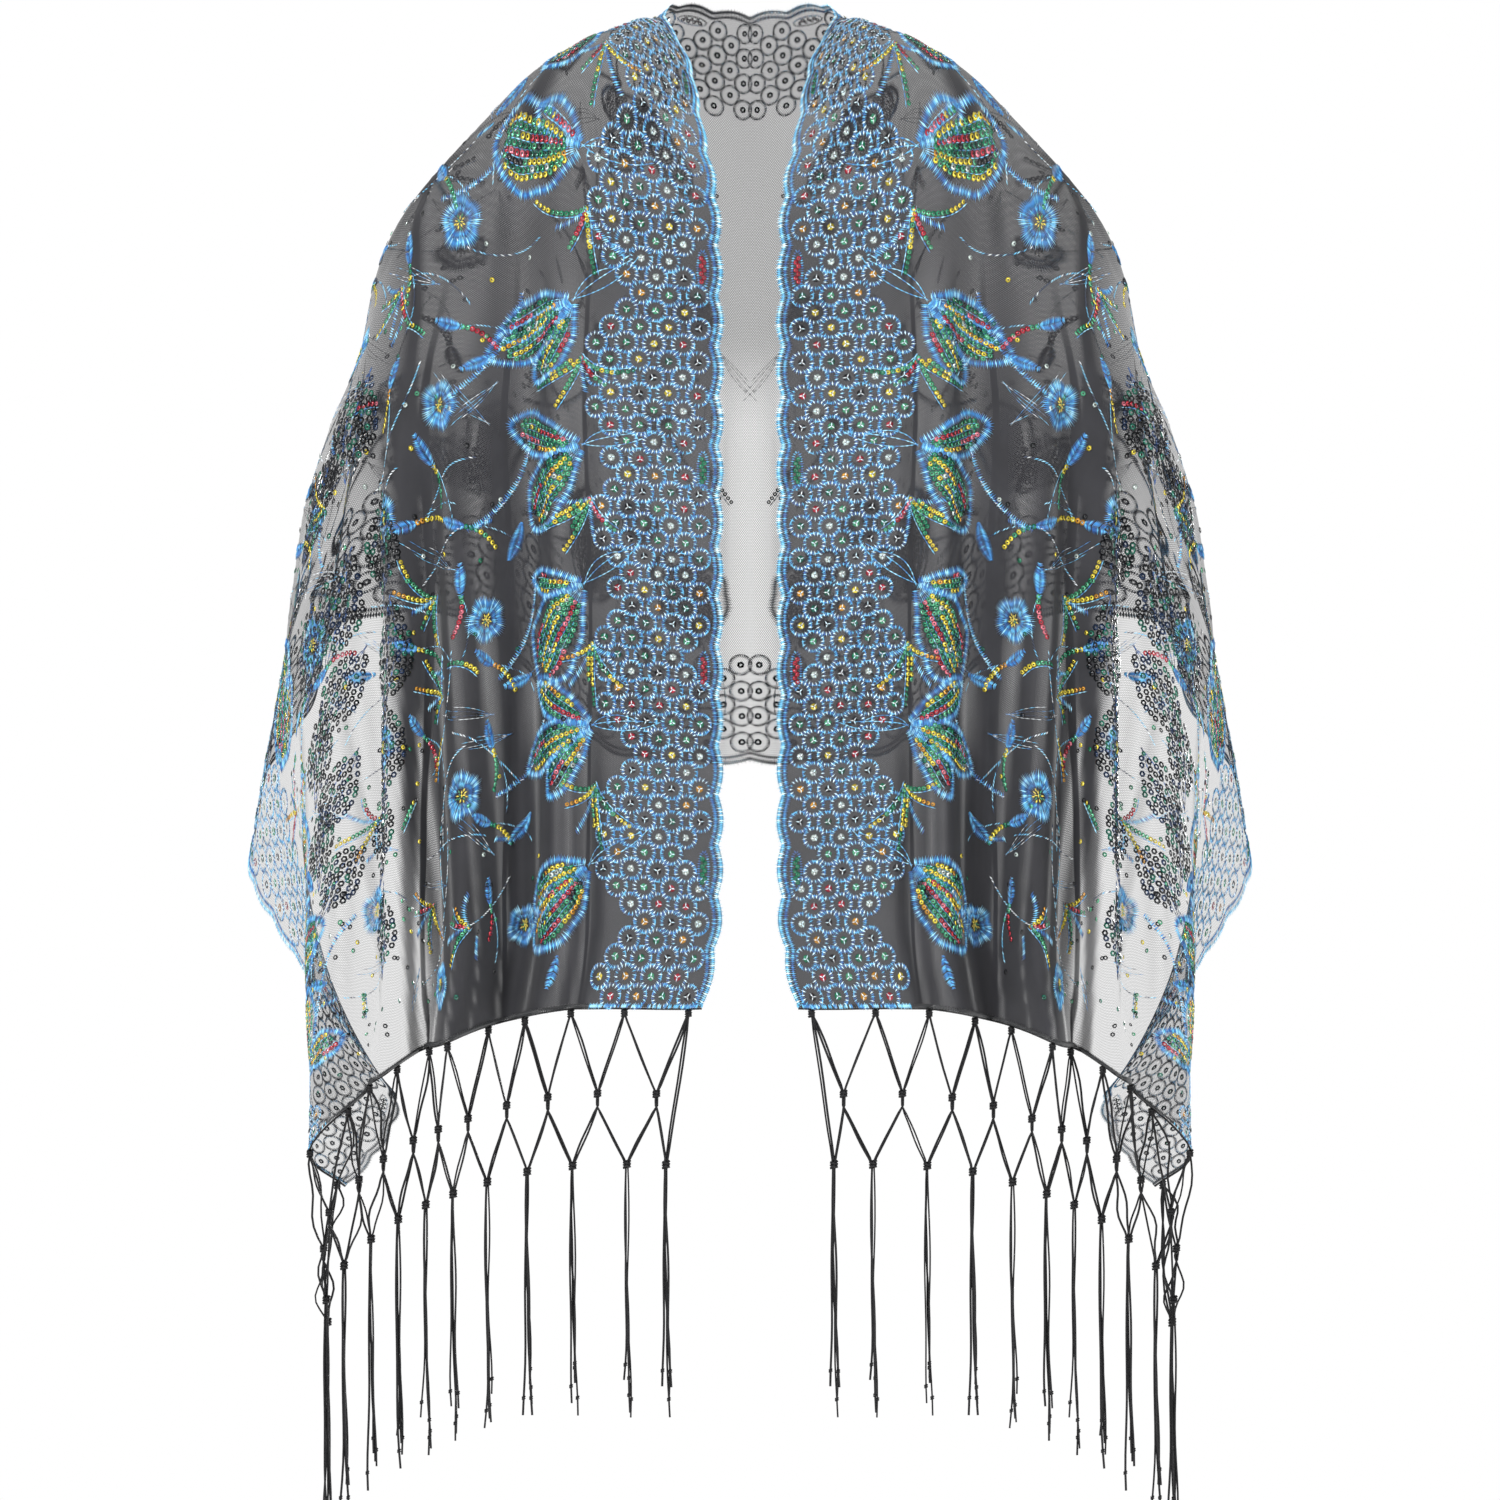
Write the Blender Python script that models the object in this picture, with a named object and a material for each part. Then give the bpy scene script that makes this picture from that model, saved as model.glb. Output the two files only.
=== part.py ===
"""Sequin shawl with a knotted fringe, hanging open from the shoulders as it does in use.

The cloth is one oblong of net: its long inner edge runs round the back of the neck and
down both fronts, and its long outer edge hangs behind. A point of the cloth has two
measures, both in metres along the cloth:
  along   0 at the middle of the back, to HALF_LENGTH at a short hem, less than 0 on the left
  across  0 at the inner edge, to WIDTH at the outer edge
The front faces -Y, and the right-hand side of a picture taken from the front is +X.
"""

import math

import bmesh
import bpy
import numpy as np
from mathutils import Matrix, Vector

HALF_LENGTH = 0.830
WIDTH = 0.550
BORDER_WIDTH = 0.085
WALL = 0.0012
SEAM = 0.0003

CELLS_PER_HALF = 36
BACK_CELLS = 12
STEPS_PER_CELL = 2
STEPS_PER_SCALLOP = 3
SCALLOP_DEPTH = 0.0035
NET_CELLS_ACROSS = 20
BORDER_CELLS_ACROSS = 3
SAMPLES_ACROSS = 241

HEM_GAP = 0.0009
BACKING_RADIUS = 0.0012
ROOT_COUNT = 12
ROOT_INSET = 0.010
ROOT_KNOT_DROP = 0.0031
KNOT_DROPS = (0.056, 0.105)
FRINGE_LENGTH = 0.266
LENGTH_VARIES = 0.014
STRANDS_PER_KNOT = 4
STRAND_SPREAD = (0.0013, 0.0027)
BUNDLE_RADIUS = 0.0010
STRAND_RADIUS = 0.0007
KNOT_RADIUS = 0.0029
KNOT_HEIGHT = 0.0048
KNOT_SIDES = 6
CORD_SIDES = 3
CORD_APART = 0.0013
SUNK = 0.0010
END_KNOT_SHARES = (0.7, 0.3)
UNEVEN_TURNS = (2.3, 1.9)

# Distances over which the cloth's directions are measured.
DOWN_STEP = 0.0005
HEM_STEP = 0.010
FACING_STEP_ALONG = 0.010
FACING_STEP_ACROSS = 0.005
WELD_DISTANCE = 0.000001

# Cross sections of the right half. Each gives the points that the cloth passes at its inner
# edge, on the front, at the outermost fold, behind and at its outer edge, in metres.
SECTIONS = (
    # along, inner edge, front, ridge, behind, outer edge
    (0.000, (0.000, 0.066, 0.003), (0.000, 0.078, -0.030), (0.000, 0.096, -0.090),
     (0.000, 0.112, -0.320), (0.000, 0.118, -0.530)),
    (0.095, (0.060, 0.004, 0.000), (0.072, 0.024, -0.006), (0.082, 0.058, -0.030),
     (0.096, 0.112, -0.290), (0.104, 0.120, -0.520)),
    (0.160, (0.043, -0.052, -0.042), (0.074, -0.024, -0.010), (0.104, 0.014, -0.016),
     (0.132, 0.108, -0.245), (0.150, 0.118, -0.478)),
    (0.220, (0.034, -0.088, -0.090), (0.096, -0.058, -0.042), (0.160, 0.006, -0.046),
     (0.190, 0.094, -0.230), (0.204, 0.114, -0.425)),
    (0.275, (0.025, -0.107, -0.138), (0.132, -0.092, -0.120), (0.238, -0.012, -0.138),
     (0.264, 0.064, -0.270), (0.288, 0.096, -0.430)),
    (0.350, (0.022, -0.113, -0.213), (0.145, -0.098, -0.208), (0.270, -0.010, -0.235),
     (0.304, 0.054, -0.370), (0.328, 0.074, -0.505)),
    (0.420, (0.022, -0.116, -0.283), (0.150, -0.096, -0.280), (0.294, -0.012, -0.320),
     (0.328, 0.044, -0.450), (0.350, 0.052, -0.572)),
    (0.470, (0.022, -0.116, -0.333), (0.150, -0.094, -0.331), (0.303, -0.018, -0.395),
     (0.338, 0.036, -0.500), (0.357, 0.038, -0.607)),
    (0.530, (0.022, -0.116, -0.393), (0.150, -0.092, -0.392), (0.308, -0.024, -0.480),
     (0.328, 0.028, -0.570), (0.336, 0.036, -0.650)),
    (0.600, (0.022, -0.116, -0.463), (0.150, -0.090, -0.463), (0.311, -0.028, -0.565),
     (0.311, 0.018, -0.640), (0.300, 0.034, -0.704)),
    (0.670, (0.022, -0.116, -0.533), (0.150, -0.090, -0.534), (0.312, -0.030, -0.645),
     (0.296, 0.010, -0.700), (0.268, 0.030, -0.748)),
    (0.740, (0.022, -0.116, -0.603), (0.150, -0.090, -0.605), (0.311, -0.034, -0.720),
     (0.300, 0.000, -0.750), (0.252, 0.022, -0.778)),
    (0.790, (0.024, -0.116, -0.655), (0.150, -0.090, -0.658), (0.306, -0.040, -0.756),
     (0.309, -0.010, -0.782), (0.266, 0.016, -0.808)),
    (0.830, (0.033, -0.114, -0.700), (0.155, -0.088, -0.706), (0.294, -0.046, -0.780),
     (0.311, -0.024, -0.806), (0.286, 0.010, -0.831)),
)

# Long folds of the fronts. Depth is inward, and is given where the fold starts and at the hem.
FRONT_FOLDS = (
    # from_along, across_top, across_hem, depth_top, depth_hem, width_top, width_hem
    (0.30, 0.099, 0.098, 0.004, 0.014, 0.009, 0.012),
    (0.24, 0.148, 0.149, 0.018, 0.040, 0.028, 0.020),
    (0.34, 0.188, 0.182, -0.004, -0.012, 0.014, 0.012),
    (0.36, 0.216, 0.213, 0.009, 0.038, 0.014, 0.014),
    (0.36, 0.242, 0.240, -0.004, -0.012, 0.012, 0.012),
    (0.34, 0.264, 0.268, 0.010, 0.028, 0.014, 0.016),
)

# The front folds set in over this share of their length, and deepen with this power of it.
FOLD_ONSET = 0.22
FOLD_GROWTH = 1.5

# Folds that fall from the shoulders down the back, each with its place along the cloth.
BACK_FOLDS = (
    # along, depth at the outer edge, width
    (0.000, 0.010, 0.030),
    (0.055, -0.008, 0.026),
    (0.108, 0.012, 0.027),
    (0.160, -0.008, 0.026),
    (0.212, 0.011, 0.028),
    (0.268, -0.008, 0.028),
    (0.326, 0.009, 0.030),
    (0.390, -0.006, 0.030),
)
BACK_FOLDS_FROM = 0.15


def smooth_step(value, start, end):
    share = np.clip((value - start) / (end - start), 0.0, 1.0)
    return share * share * (3.0 - 2.0 * share)


def curve_through(knots, values, at):
    """A smooth curve through the values at the knots, read at the places asked for."""
    knots = np.asarray(knots, float)
    values = np.asarray(values, float)
    at = np.asarray(at, float)
    slopes = np.gradient(values, knots, axis=0)
    index = np.clip(np.searchsorted(knots, at, side="right") - 1, 0, len(knots) - 2)
    step = knots[index + 1] - knots[index]
    share = (at - knots[index]) / step
    shape = (-1,) + (1,) * (values.ndim - 1)
    share = share.reshape(shape)
    step = step.reshape(shape)
    start, end = values[index], values[index + 1]
    return (
        (2 * share**3 - 3 * share**2 + 1) * start
        + (share**3 - 2 * share**2 + share) * step * slopes[index]
        + (3 * share**2 - 2 * share**3) * end
        + (share**3 - share**2) * step * slopes[index + 1]
    )


def section_tables():
    """The sections with two of them mirrored in front, so the back is smooth at its middle."""
    along = [row[0] for row in SECTIONS]
    points = np.array([row[1:] for row in SECTIONS])
    mirrored = points[[2, 1]] * (-1.0, 1.0, 1.0)
    return np.array([-along[2], -along[1], *along]), np.concatenate([mirrored, points])


SECTION_ALONG, SECTION_POINTS = section_tables()


def plain_line(along):
    """The cross line of the cloth at one place along it, before its folds."""
    five = curve_through(SECTION_ALONG, SECTION_POINTS, [along])[0]
    reach = np.concatenate([[0.0], np.cumsum(np.linalg.norm(np.diff(five, axis=0), axis=1))])
    return curve_through(reach, five, np.linspace(0.0, reach[-1], SAMPLES_ACROSS))


def lengths_along(line):
    steps = np.linalg.norm(np.diff(line, axis=0), axis=1)
    return np.concatenate([[0.0], np.cumsum(steps)])


def fold_depths(along, reach):
    """How far the folds take each sample of a cross line in from the plain surface."""
    depth = np.zeros_like(reach)
    for from_along, at_top, at_hem, deep_top, deep_hem, wide_top, wide_hem in FRONT_FOLDS:
        share = np.clip((along - from_along) / (HALF_LENGTH - from_along), 0.0, 1.0)
        grown = share ** FOLD_GROWTH
        place = at_top + (at_hem - at_top) * share
        width = wide_top + (wide_hem - wide_top) * share
        deep = (deep_top + (deep_hem - deep_top) * grown) * smooth_step(share, 0.0, FOLD_ONSET)
        depth += deep * np.exp(-(((reach - place) / width) ** 2))
    down = smooth_step(reach / reach[-1], BACK_FOLDS_FROM, 1.0)
    for at, deep, width in BACK_FOLDS:
        depth += deep * down * np.exp(-(((along - at) / width) ** 2))
    return depth


def folded_line(along):
    """A cross line with its folds, and the length of cloth to each of its samples."""
    side = -1.0 if along < 0 else 1.0
    along = abs(along)
    line = plain_line(along)
    across = np.gradient(line, axis=0)
    downward = plain_line(along + DOWN_STEP) - plain_line(along - DOWN_STEP)
    normal = np.cross(across, downward)
    normal /= np.linalg.norm(normal, axis=1)[:, None]
    line = line + normal * fold_depths(along, lengths_along(line))[:, None]
    return line * (side, 1.0, 1.0), lengths_along(line)


def drape(along, across):
    """The places in space of a grid of cloth points, as an array along by across."""
    rows = []
    for place in along:
        line, reach = folded_line(place)
        wanted = np.asarray(across) / WIDTH * reach[-1]
        rows.append(np.stack([np.interp(wanted, reach, line[:, k]) for k in range(3)], axis=1))
    return np.array(rows)


def material(name, colour, roughness):
    made = bpy.data.materials.new(name)
    made.use_nodes = True
    shader = made.node_tree.nodes["Principled BSDF"]
    shader.inputs["Base Color"].default_value = (*colour, 1.0)
    shader.inputs["Roughness"].default_value = roughness
    shader.inputs["Metallic"].default_value = 0.0
    return made


def add_object(name, mesh, collection, surface):
    made = bpy.data.objects.new(name, mesh)
    mesh.materials.append(surface)
    collection.objects.link(made)
    return made


def facing(along, across):
    """The cloth's own outward direction at a grid of cloth points."""
    low = np.clip(np.asarray(along) - FACING_STEP_ALONG, -HALF_LENGTH, HALF_LENGTH)
    high = np.clip(np.asarray(along) + FACING_STEP_ALONG, -HALF_LENGTH, HALF_LENGTH)
    downward = drape(high, across) - drape(low, across)
    right, left = across + FACING_STEP_ACROSS, across - FACING_STEP_ACROSS
    sideways = drape(along, right) - drape(along, left)
    normal = np.cross(sideways, downward)
    return normal / np.linalg.norm(normal, axis=2)[:, :, None]


def rim_of(rows, columns):
    """The grid places round the edge of a sheet, in order."""
    down = [(i, 0) for i in range(rows)]
    right = [(rows - 1, j) for j in range(1, columns)]
    up = [(i, columns - 1) for i in range(rows - 2, -1, -1)]
    left = [(0, j) for j in range(columns - 2, 0, -1)]
    return down + right + up + left


def wall_mesh(name, points, normals):
    """A closed wall lofted between two skins, half its thickness to each side of a grid."""
    rows, columns = points.shape[:2]
    build = bmesh.new()
    skins = []
    for side in (0.5, -0.5):
        skin = points + normals * (side * WALL)
        grid = [[build.verts.new(point) for point in row] for row in skin]
        for i in range(rows - 1):
            for j in range(columns - 1):
                build.faces.new((grid[i][j], grid[i][j + 1], grid[i + 1][j + 1]))
                build.faces.new((grid[i][j], grid[i + 1][j + 1], grid[i + 1][j]))
        skins.append(grid)
    rim = rim_of(rows, columns)
    for (i, j), (k, m) in zip(rim, rim[1:] + rim[:1]):
        build.faces.new((skins[0][i][j], skins[0][k][m], skins[1][k][m], skins[1][i][j]))
    bmesh.ops.recalc_face_normals(build, faces=build.faces)
    mesh = bpy.data.meshes.new(name)
    build.to_mesh(mesh)
    build.free()
    mesh.shade_smooth()
    return mesh


def cell_lines():
    """Places along the cloth of the coarse cells, the same on both halves."""
    return np.linspace(-HALF_LENGTH, HALF_LENGTH, 2 * CELLS_PER_HALF + 1)


def stretches():
    """Name, first cell line and last cell line of each stretch of the cloth."""
    middle = CELLS_PER_HALF
    return (
        ("left", 0, middle - BACK_CELLS),
        ("back", middle - BACK_CELLS, middle + BACK_CELLS),
        ("right", middle + BACK_CELLS, 2 * CELLS_PER_HALF),
    )


def parted(points, normals, row, next_row):
    """Moves a seam's points half the gap into their own piece, at right angles to the seam."""
    run = np.gradient(points[row], axis=0)
    apart = np.cross(normals[row], run)
    apart /= np.linalg.norm(apart, axis=1)[:, None]
    inward = np.sum(apart * (points[next_row] - points[row]), axis=1)
    points[row] += apart * np.sign(inward)[:, None] * SEAM / 2


def part_ends(points, normals, first, last):
    """Parts a piece from its neighbours along the cloth."""
    if first > 0:
        parted(points, normals, 0, 1)
    if last < 2 * CELLS_PER_HALF:
        parted(points, normals, -1, -2)


def net_grid(first, last):
    along = cell_lines()[first:last + 1]
    across = np.linspace(BORDER_WIDTH, WIDTH - BORDER_WIDTH, NET_CELLS_ACROSS + 1)
    points, normals = drape(along, across), facing(along, across)
    turned_points, turned_normals = points.swapaxes(0, 1), normals.swapaxes(0, 1)
    parted(turned_points, turned_normals, 0, 1)
    parted(turned_points, turned_normals, -1, -2)
    part_ends(points, normals, first, last)
    return points, normals


def border_grid(first, last, outer):
    """A border strip: straight chords at its seam, scallops at its free edge."""
    coarse = cell_lines()[first:last + 1]
    numbers = np.arange(len(coarse))
    places = np.linspace(0, len(coarse) - 1, (len(coarse) - 1) * STEPS_PER_CELL + 1)
    along = np.interp(places, numbers, coarse)
    seam = WIDTH - BORDER_WIDTH if outer else BORDER_WIDTH
    free = WIDTH if outer else 0.0
    across = np.linspace(seam, free, BORDER_CELLS_ACROSS + 1)
    points, normals = drape(along, across), facing(along, across)
    corners = drape(coarse, across[:2]).swapaxes(0, 1)
    corner_normals = facing(coarse, across[:2]).swapaxes(0, 1)
    parted(corners, corner_normals, 0, 1)
    for k in range(3):
        points[:, 0, k] = np.interp(places, numbers, corners[0, :, k])
        normals[:, 0, k] = np.interp(places, numbers, corner_normals[0, :, k])
    scallops = places * STEPS_PER_CELL / STEPS_PER_SCALLOP
    bulge = SCALLOP_DEPTH * np.abs(np.sin(math.pi * scallops))
    outward = points[:, -1] - points[:, -2]
    outward /= np.linalg.norm(outward, axis=1)[:, None]
    points[:, -1] += outward * bulge[:, None]
    part_ends(points, normals, first, last)
    return points, normals


def add_wall(name, grid, collection, surface):
    add_object(name, wall_mesh(name, *grid), collection, surface)


def add_cloth(collection, net, embroidery):
    for side, first, last in stretches():
        add_wall(f"net_{side}", net_grid(first, last), collection, net)
        for edge, outer in (("inner", False), ("outer", True)):
            grid = border_grid(first, last, outer)
            add_wall(f"border_{edge}_{side}", grid, collection, embroidery)


def across_lines():
    """Every line across the cloth that the pieces have at a hem, from edge to edge."""
    inner = np.linspace(0.0, BORDER_WIDTH, BORDER_CELLS_ACROSS + 1)
    middle = np.linspace(BORDER_WIDTH, WIDTH - BORDER_WIDTH, NET_CELLS_ACROSS + 1)
    return np.concatenate([inner[:-1], middle, WIDTH - inner[-2::-1]])


def backing_line(side):
    """The line of the cord that carries a fringe, parted from the hem by a small gap."""
    across = across_lines()
    hem = drape([side * HALF_LENGTH], across)[0]
    above = drape([side * (HALF_LENGTH - HEM_STEP)], across)[0]
    down = hem - above
    down /= np.linalg.norm(down, axis=1)[:, None]
    down[1:-1] = down[:-2] + 2 * down[1:-1] + down[2:]
    down /= np.linalg.norm(down, axis=1)[:, None]
    return hem + down * (HEM_GAP + BACKING_RADIUS)


def roots(side):
    """The knots that hold the cords of a fringe to the foot of its backing."""
    line = backing_line(side) - (0.0, 0.0, ROOT_KNOT_DROP)
    places = np.linspace(ROOT_INSET, WIDTH - ROOT_INSET, ROOT_COUNT)
    return [Vector([np.interp(p, across_lines(), line[:, k]) for k in range(3)]) for p in places]


def backing_mesh(name, side):
    """A cord along the hem, made a mesh with its end caps welded on."""
    line = backing_line(side)
    curve = bpy.data.curves.new(name, "CURVE")
    curve.dimensions = "3D"
    curve.bevel_depth = BACKING_RADIUS
    curve.bevel_resolution = 0
    curve.use_fill_caps = True
    spline = curve.splines.new("POLY")
    spline.points.add(len(line) - 1)
    for point, place in zip(spline.points, line):
        point.co = (*place, 1.0)
    holder = bpy.data.objects.new(name, curve)
    bpy.context.scene.collection.objects.link(holder)
    evaluated = holder.evaluated_get(bpy.context.evaluated_depsgraph_get())
    mesh = bpy.data.meshes.new_from_object(evaluated)
    bpy.data.objects.remove(holder, do_unlink=True)
    build = bmesh.new()
    build.from_mesh(mesh)
    bmesh.ops.remove_doubles(build, verts=build.verts, dist=WELD_DISTANCE)
    build.to_mesh(mesh)
    build.free()
    return mesh


def dropped(points, weights, drop):
    spot = sum((point * weight for point, weight in zip(points, weights)), Vector())
    return Vector((spot.x, spot.y, spot.z - drop))


def fringe_plan(side):
    """The cords from knot to knot, all the knots, and the last row that strands hang from."""
    root = roots(side)
    to_second = KNOT_DROPS[1] - KNOT_DROPS[0]
    first = [dropped(pair, (0.5, 0.5), KNOT_DROPS[0]) for pair in zip(root, root[1:])]
    second = [dropped(pair, (0.5, 0.5), to_second) for pair in zip(first, first[1:])]
    end_drop = KNOT_DROPS[1] - END_KNOT_SHARES[0] * KNOT_DROPS[0]
    second.insert(0, dropped((first[0], root[0]), END_KNOT_SHARES, end_drop))
    second.append(dropped((first[-1], root[-1]), END_KNOT_SHARES, end_drop))
    cords = [(root[0], second[0]), (root[-1], second[-1])]
    for i, knot in enumerate(first):
        cords += [(root[i], knot), (root[i + 1], knot), (knot, second[i]), (knot, second[i + 1])]
    return cords, root + first + second, second


def add_prism(build, start, end, radius, sides=CORD_SIDES):
    way = end - start
    turn = way.to_track_quat("Z", "Y").to_matrix().to_4x4()
    place = Matrix.Translation((start + end) / 2) @ turn
    bmesh.ops.create_cone(
        build, cap_ends=True, segments=sides, radius1=radius, radius2=radius,
        depth=way.length, matrix=place,
    )


def add_cord(build, start, end):
    """A cord from the foot of one knot into the top of the knot below."""
    heading = Vector((end.x - start.x, end.y - start.y, 0.0)).normalized()
    into = KNOT_HEIGHT / 2 - SUNK
    leaves = start + heading * CORD_APART
    leaves.z -= into
    meets = end - heading * CORD_APART
    meets.z += into
    add_prism(build, leaves, meets, BUNDLE_RADIUS)


def add_strands(build, knot, number):
    """The strands under one knot, each a little longer or shorter than the next."""
    foot = knot.z - KNOT_HEIGHT / 2 + SUNK
    for i in range(STRANDS_PER_KNOT):
        angle = 2 * math.pi * (i + 0.5) / STRANDS_PER_KNOT
        out = Vector((math.cos(angle), math.sin(angle), 0.0))
        share = math.sin(UNEVEN_TURNS[0] * number + UNEVEN_TURNS[1] * i)
        length = FRINGE_LENGTH - KNOT_DROPS[1] + LENGTH_VARIES * share
        start, end = knot + out * STRAND_SPREAD[0], knot + out * STRAND_SPREAD[1]
        start.z, end.z = foot, knot.z - length
        add_prism(build, start, end, STRAND_RADIUS)


def cords_mesh(side):
    cords, knots, last_row = fringe_plan(side)
    build = bmesh.new()
    for start, end in cords:
        add_cord(build, start, end)
    half = Vector((0.0, 0.0, KNOT_HEIGHT / 2))
    for knot in knots:
        add_prism(build, knot + half, knot - half, KNOT_RADIUS, KNOT_SIDES)
    for number, knot in enumerate(last_row):
        add_strands(build, knot, number)
    mesh = bpy.data.meshes.new("fringe_cords")
    build.to_mesh(mesh)
    build.free()
    return mesh


def add_fringe(name, side, collection, cutters, cord):
    """The backing cord of a hem with its knotted cords joined to it."""
    made = add_object(name, backing_mesh(name, side), collection, cord)
    cords = add_object(f"{name}_cords", cords_mesh(side), cutters, cord)
    cords.hide_render = True
    cords.display_type = "WIRE"
    join = made.modifiers.new("join", "BOOLEAN")
    join.operation = "UNION"
    join.solver = "EXACT"
    join.use_self = True
    join.object = cords


def main():
    for thing in list(bpy.data.objects):
        bpy.data.objects.remove(thing, do_unlink=True)
    collection = bpy.data.collections.new("sequin_shawl")
    cutters = bpy.data.collections.new("joined_shapes")
    bpy.context.scene.collection.children.link(collection)
    bpy.context.scene.collection.children.link(cutters)
    net = material("black_net", (0.02, 0.02, 0.025), 0.8)
    embroidery = material("blue_embroidery", (0.10, 0.28, 0.55), 0.6)
    cord = material("black_cord", (0.012, 0.012, 0.014), 0.55)
    add_cloth(collection, net, embroidery)
    add_fringe("fringe_left", -1, collection, cutters, cord)
    add_fringe("fringe_right", 1, collection, cutters, cord)


main()
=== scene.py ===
# %% [markdown]
# # A sequin shawl in its worn shape
# The real shawl is one oblong of fine black net, 1.66 m by 0.55 m, with a ring-stitched blue
# border on both long edges, blossoms of thread and sequins between them, and a knotted fringe
# on both short hems. It could be simulated over a form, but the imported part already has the
# drape as a formula, so every piece here is laid on that same formula and nothing can drift.

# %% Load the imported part
import math

import bmesh
import bpy
import numpy as np
from mathutils import Matrix, Vector


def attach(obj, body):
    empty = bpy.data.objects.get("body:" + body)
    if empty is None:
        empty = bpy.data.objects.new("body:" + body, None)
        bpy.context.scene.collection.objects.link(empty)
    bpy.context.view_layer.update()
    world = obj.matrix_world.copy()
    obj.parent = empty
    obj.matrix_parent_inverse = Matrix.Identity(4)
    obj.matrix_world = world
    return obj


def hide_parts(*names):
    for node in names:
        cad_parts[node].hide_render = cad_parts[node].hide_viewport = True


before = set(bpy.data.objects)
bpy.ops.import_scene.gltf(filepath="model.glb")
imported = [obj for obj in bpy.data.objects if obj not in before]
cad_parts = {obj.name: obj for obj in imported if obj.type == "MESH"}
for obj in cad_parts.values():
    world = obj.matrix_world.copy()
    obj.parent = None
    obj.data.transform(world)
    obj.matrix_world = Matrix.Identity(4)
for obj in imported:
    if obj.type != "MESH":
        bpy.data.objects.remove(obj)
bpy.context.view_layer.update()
print("nodes:", len(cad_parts))

# %% [markdown]
# ## The camera
# The picture is taken straight from the front with a long lens, and shows about 1.05 m of
# height. A long lens from far away keeps the front and the back nearly the same size.

# %% Camera
VIEW_HEIGHT = 1.05
VIEW_CENTRE_Z = -0.523
CAMERA_DISTANCE = 5.0
MIDDLE_DEPTH = -0.06


def in_scene(name, data):
    """An object of a mesh, lamp or camera, linked into the scene."""
    made = bpy.data.objects.new(name, data)
    bpy.context.scene.collection.objects.link(made)
    return made


camera_data = bpy.data.cameras.new("camera")
camera = in_scene("camera", camera_data)
camera.location = (0.0, MIDDLE_DEPTH - CAMERA_DISTANCE, VIEW_CENTRE_Z)
camera.rotation_euler = (math.pi / 2, 0.0, 0.0)
camera_data.lens = camera_data.sensor_width * CAMERA_DISTANCE / VIEW_HEIGHT
bpy.context.scene.camera = camera
print("lens:", round(camera_data.lens), "mm")

# %% [markdown]
# ## The drape
# A point of the cloth has two measures: along, from the middle of the back to a short hem, and
# across, from the inner edge at the neck to the outer edge behind the sides. Each row below says
# where the cloth passes at one place along it. A smooth curve through the rows gives the rest.

# %% Sizes and cross sections of the cloth
HALF_LENGTH = 0.830
WIDTH = 0.550
BORDER_WIDTH = 0.085
SCALLOPS = 24
SCALLOP_PITCH = HALF_LENGTH / SCALLOPS
SCALLOP_DEPTH = 0.0035
SAMPLES_ACROSS = 241

SECTIONS = (
    # along, inner edge, front, ridge, behind, outer edge
    (0.000, (0.000, 0.066, 0.003), (0.000, 0.078, -0.030), (0.000, 0.096, -0.090),
     (0.000, 0.112, -0.320), (0.000, 0.118, -0.530)),
    (0.095, (0.060, 0.004, 0.000), (0.072, 0.024, -0.006), (0.082, 0.058, -0.030),
     (0.096, 0.112, -0.290), (0.104, 0.120, -0.520)),
    (0.160, (0.043, -0.052, -0.042), (0.074, -0.024, -0.010), (0.104, 0.014, -0.016),
     (0.132, 0.108, -0.245), (0.150, 0.118, -0.478)),
    (0.220, (0.034, -0.088, -0.090), (0.096, -0.058, -0.042), (0.160, 0.006, -0.046),
     (0.190, 0.094, -0.230), (0.204, 0.114, -0.425)),
    (0.275, (0.025, -0.107, -0.138), (0.132, -0.092, -0.120), (0.238, -0.012, -0.138),
     (0.264, 0.064, -0.270), (0.288, 0.096, -0.430)),
    (0.350, (0.022, -0.113, -0.213), (0.145, -0.098, -0.208), (0.270, -0.010, -0.235),
     (0.304, 0.054, -0.370), (0.328, 0.074, -0.505)),
    (0.420, (0.022, -0.116, -0.283), (0.150, -0.096, -0.280), (0.294, -0.012, -0.320),
     (0.328, 0.044, -0.450), (0.350, 0.052, -0.572)),
    (0.470, (0.022, -0.116, -0.333), (0.150, -0.094, -0.331), (0.303, -0.018, -0.395),
     (0.338, 0.036, -0.500), (0.357, 0.038, -0.607)),
    (0.530, (0.022, -0.116, -0.393), (0.150, -0.092, -0.392), (0.308, -0.024, -0.480),
     (0.328, 0.028, -0.570), (0.336, 0.036, -0.650)),
    (0.600, (0.022, -0.116, -0.463), (0.150, -0.090, -0.463), (0.311, -0.028, -0.565),
     (0.311, 0.018, -0.640), (0.300, 0.034, -0.704)),
    (0.670, (0.022, -0.116, -0.533), (0.150, -0.090, -0.534), (0.312, -0.030, -0.645),
     (0.296, 0.010, -0.700), (0.268, 0.030, -0.748)),
    (0.740, (0.022, -0.116, -0.603), (0.150, -0.090, -0.605), (0.311, -0.034, -0.720),
     (0.300, 0.000, -0.750), (0.252, 0.022, -0.778)),
    (0.790, (0.024, -0.116, -0.655), (0.150, -0.090, -0.658), (0.306, -0.040, -0.756),
     (0.309, -0.010, -0.782), (0.266, 0.016, -0.808)),
    (0.830, (0.033, -0.114, -0.700), (0.155, -0.088, -0.706), (0.294, -0.046, -0.780),
     (0.311, -0.024, -0.806), (0.286, 0.010, -0.831)),
)

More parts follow.
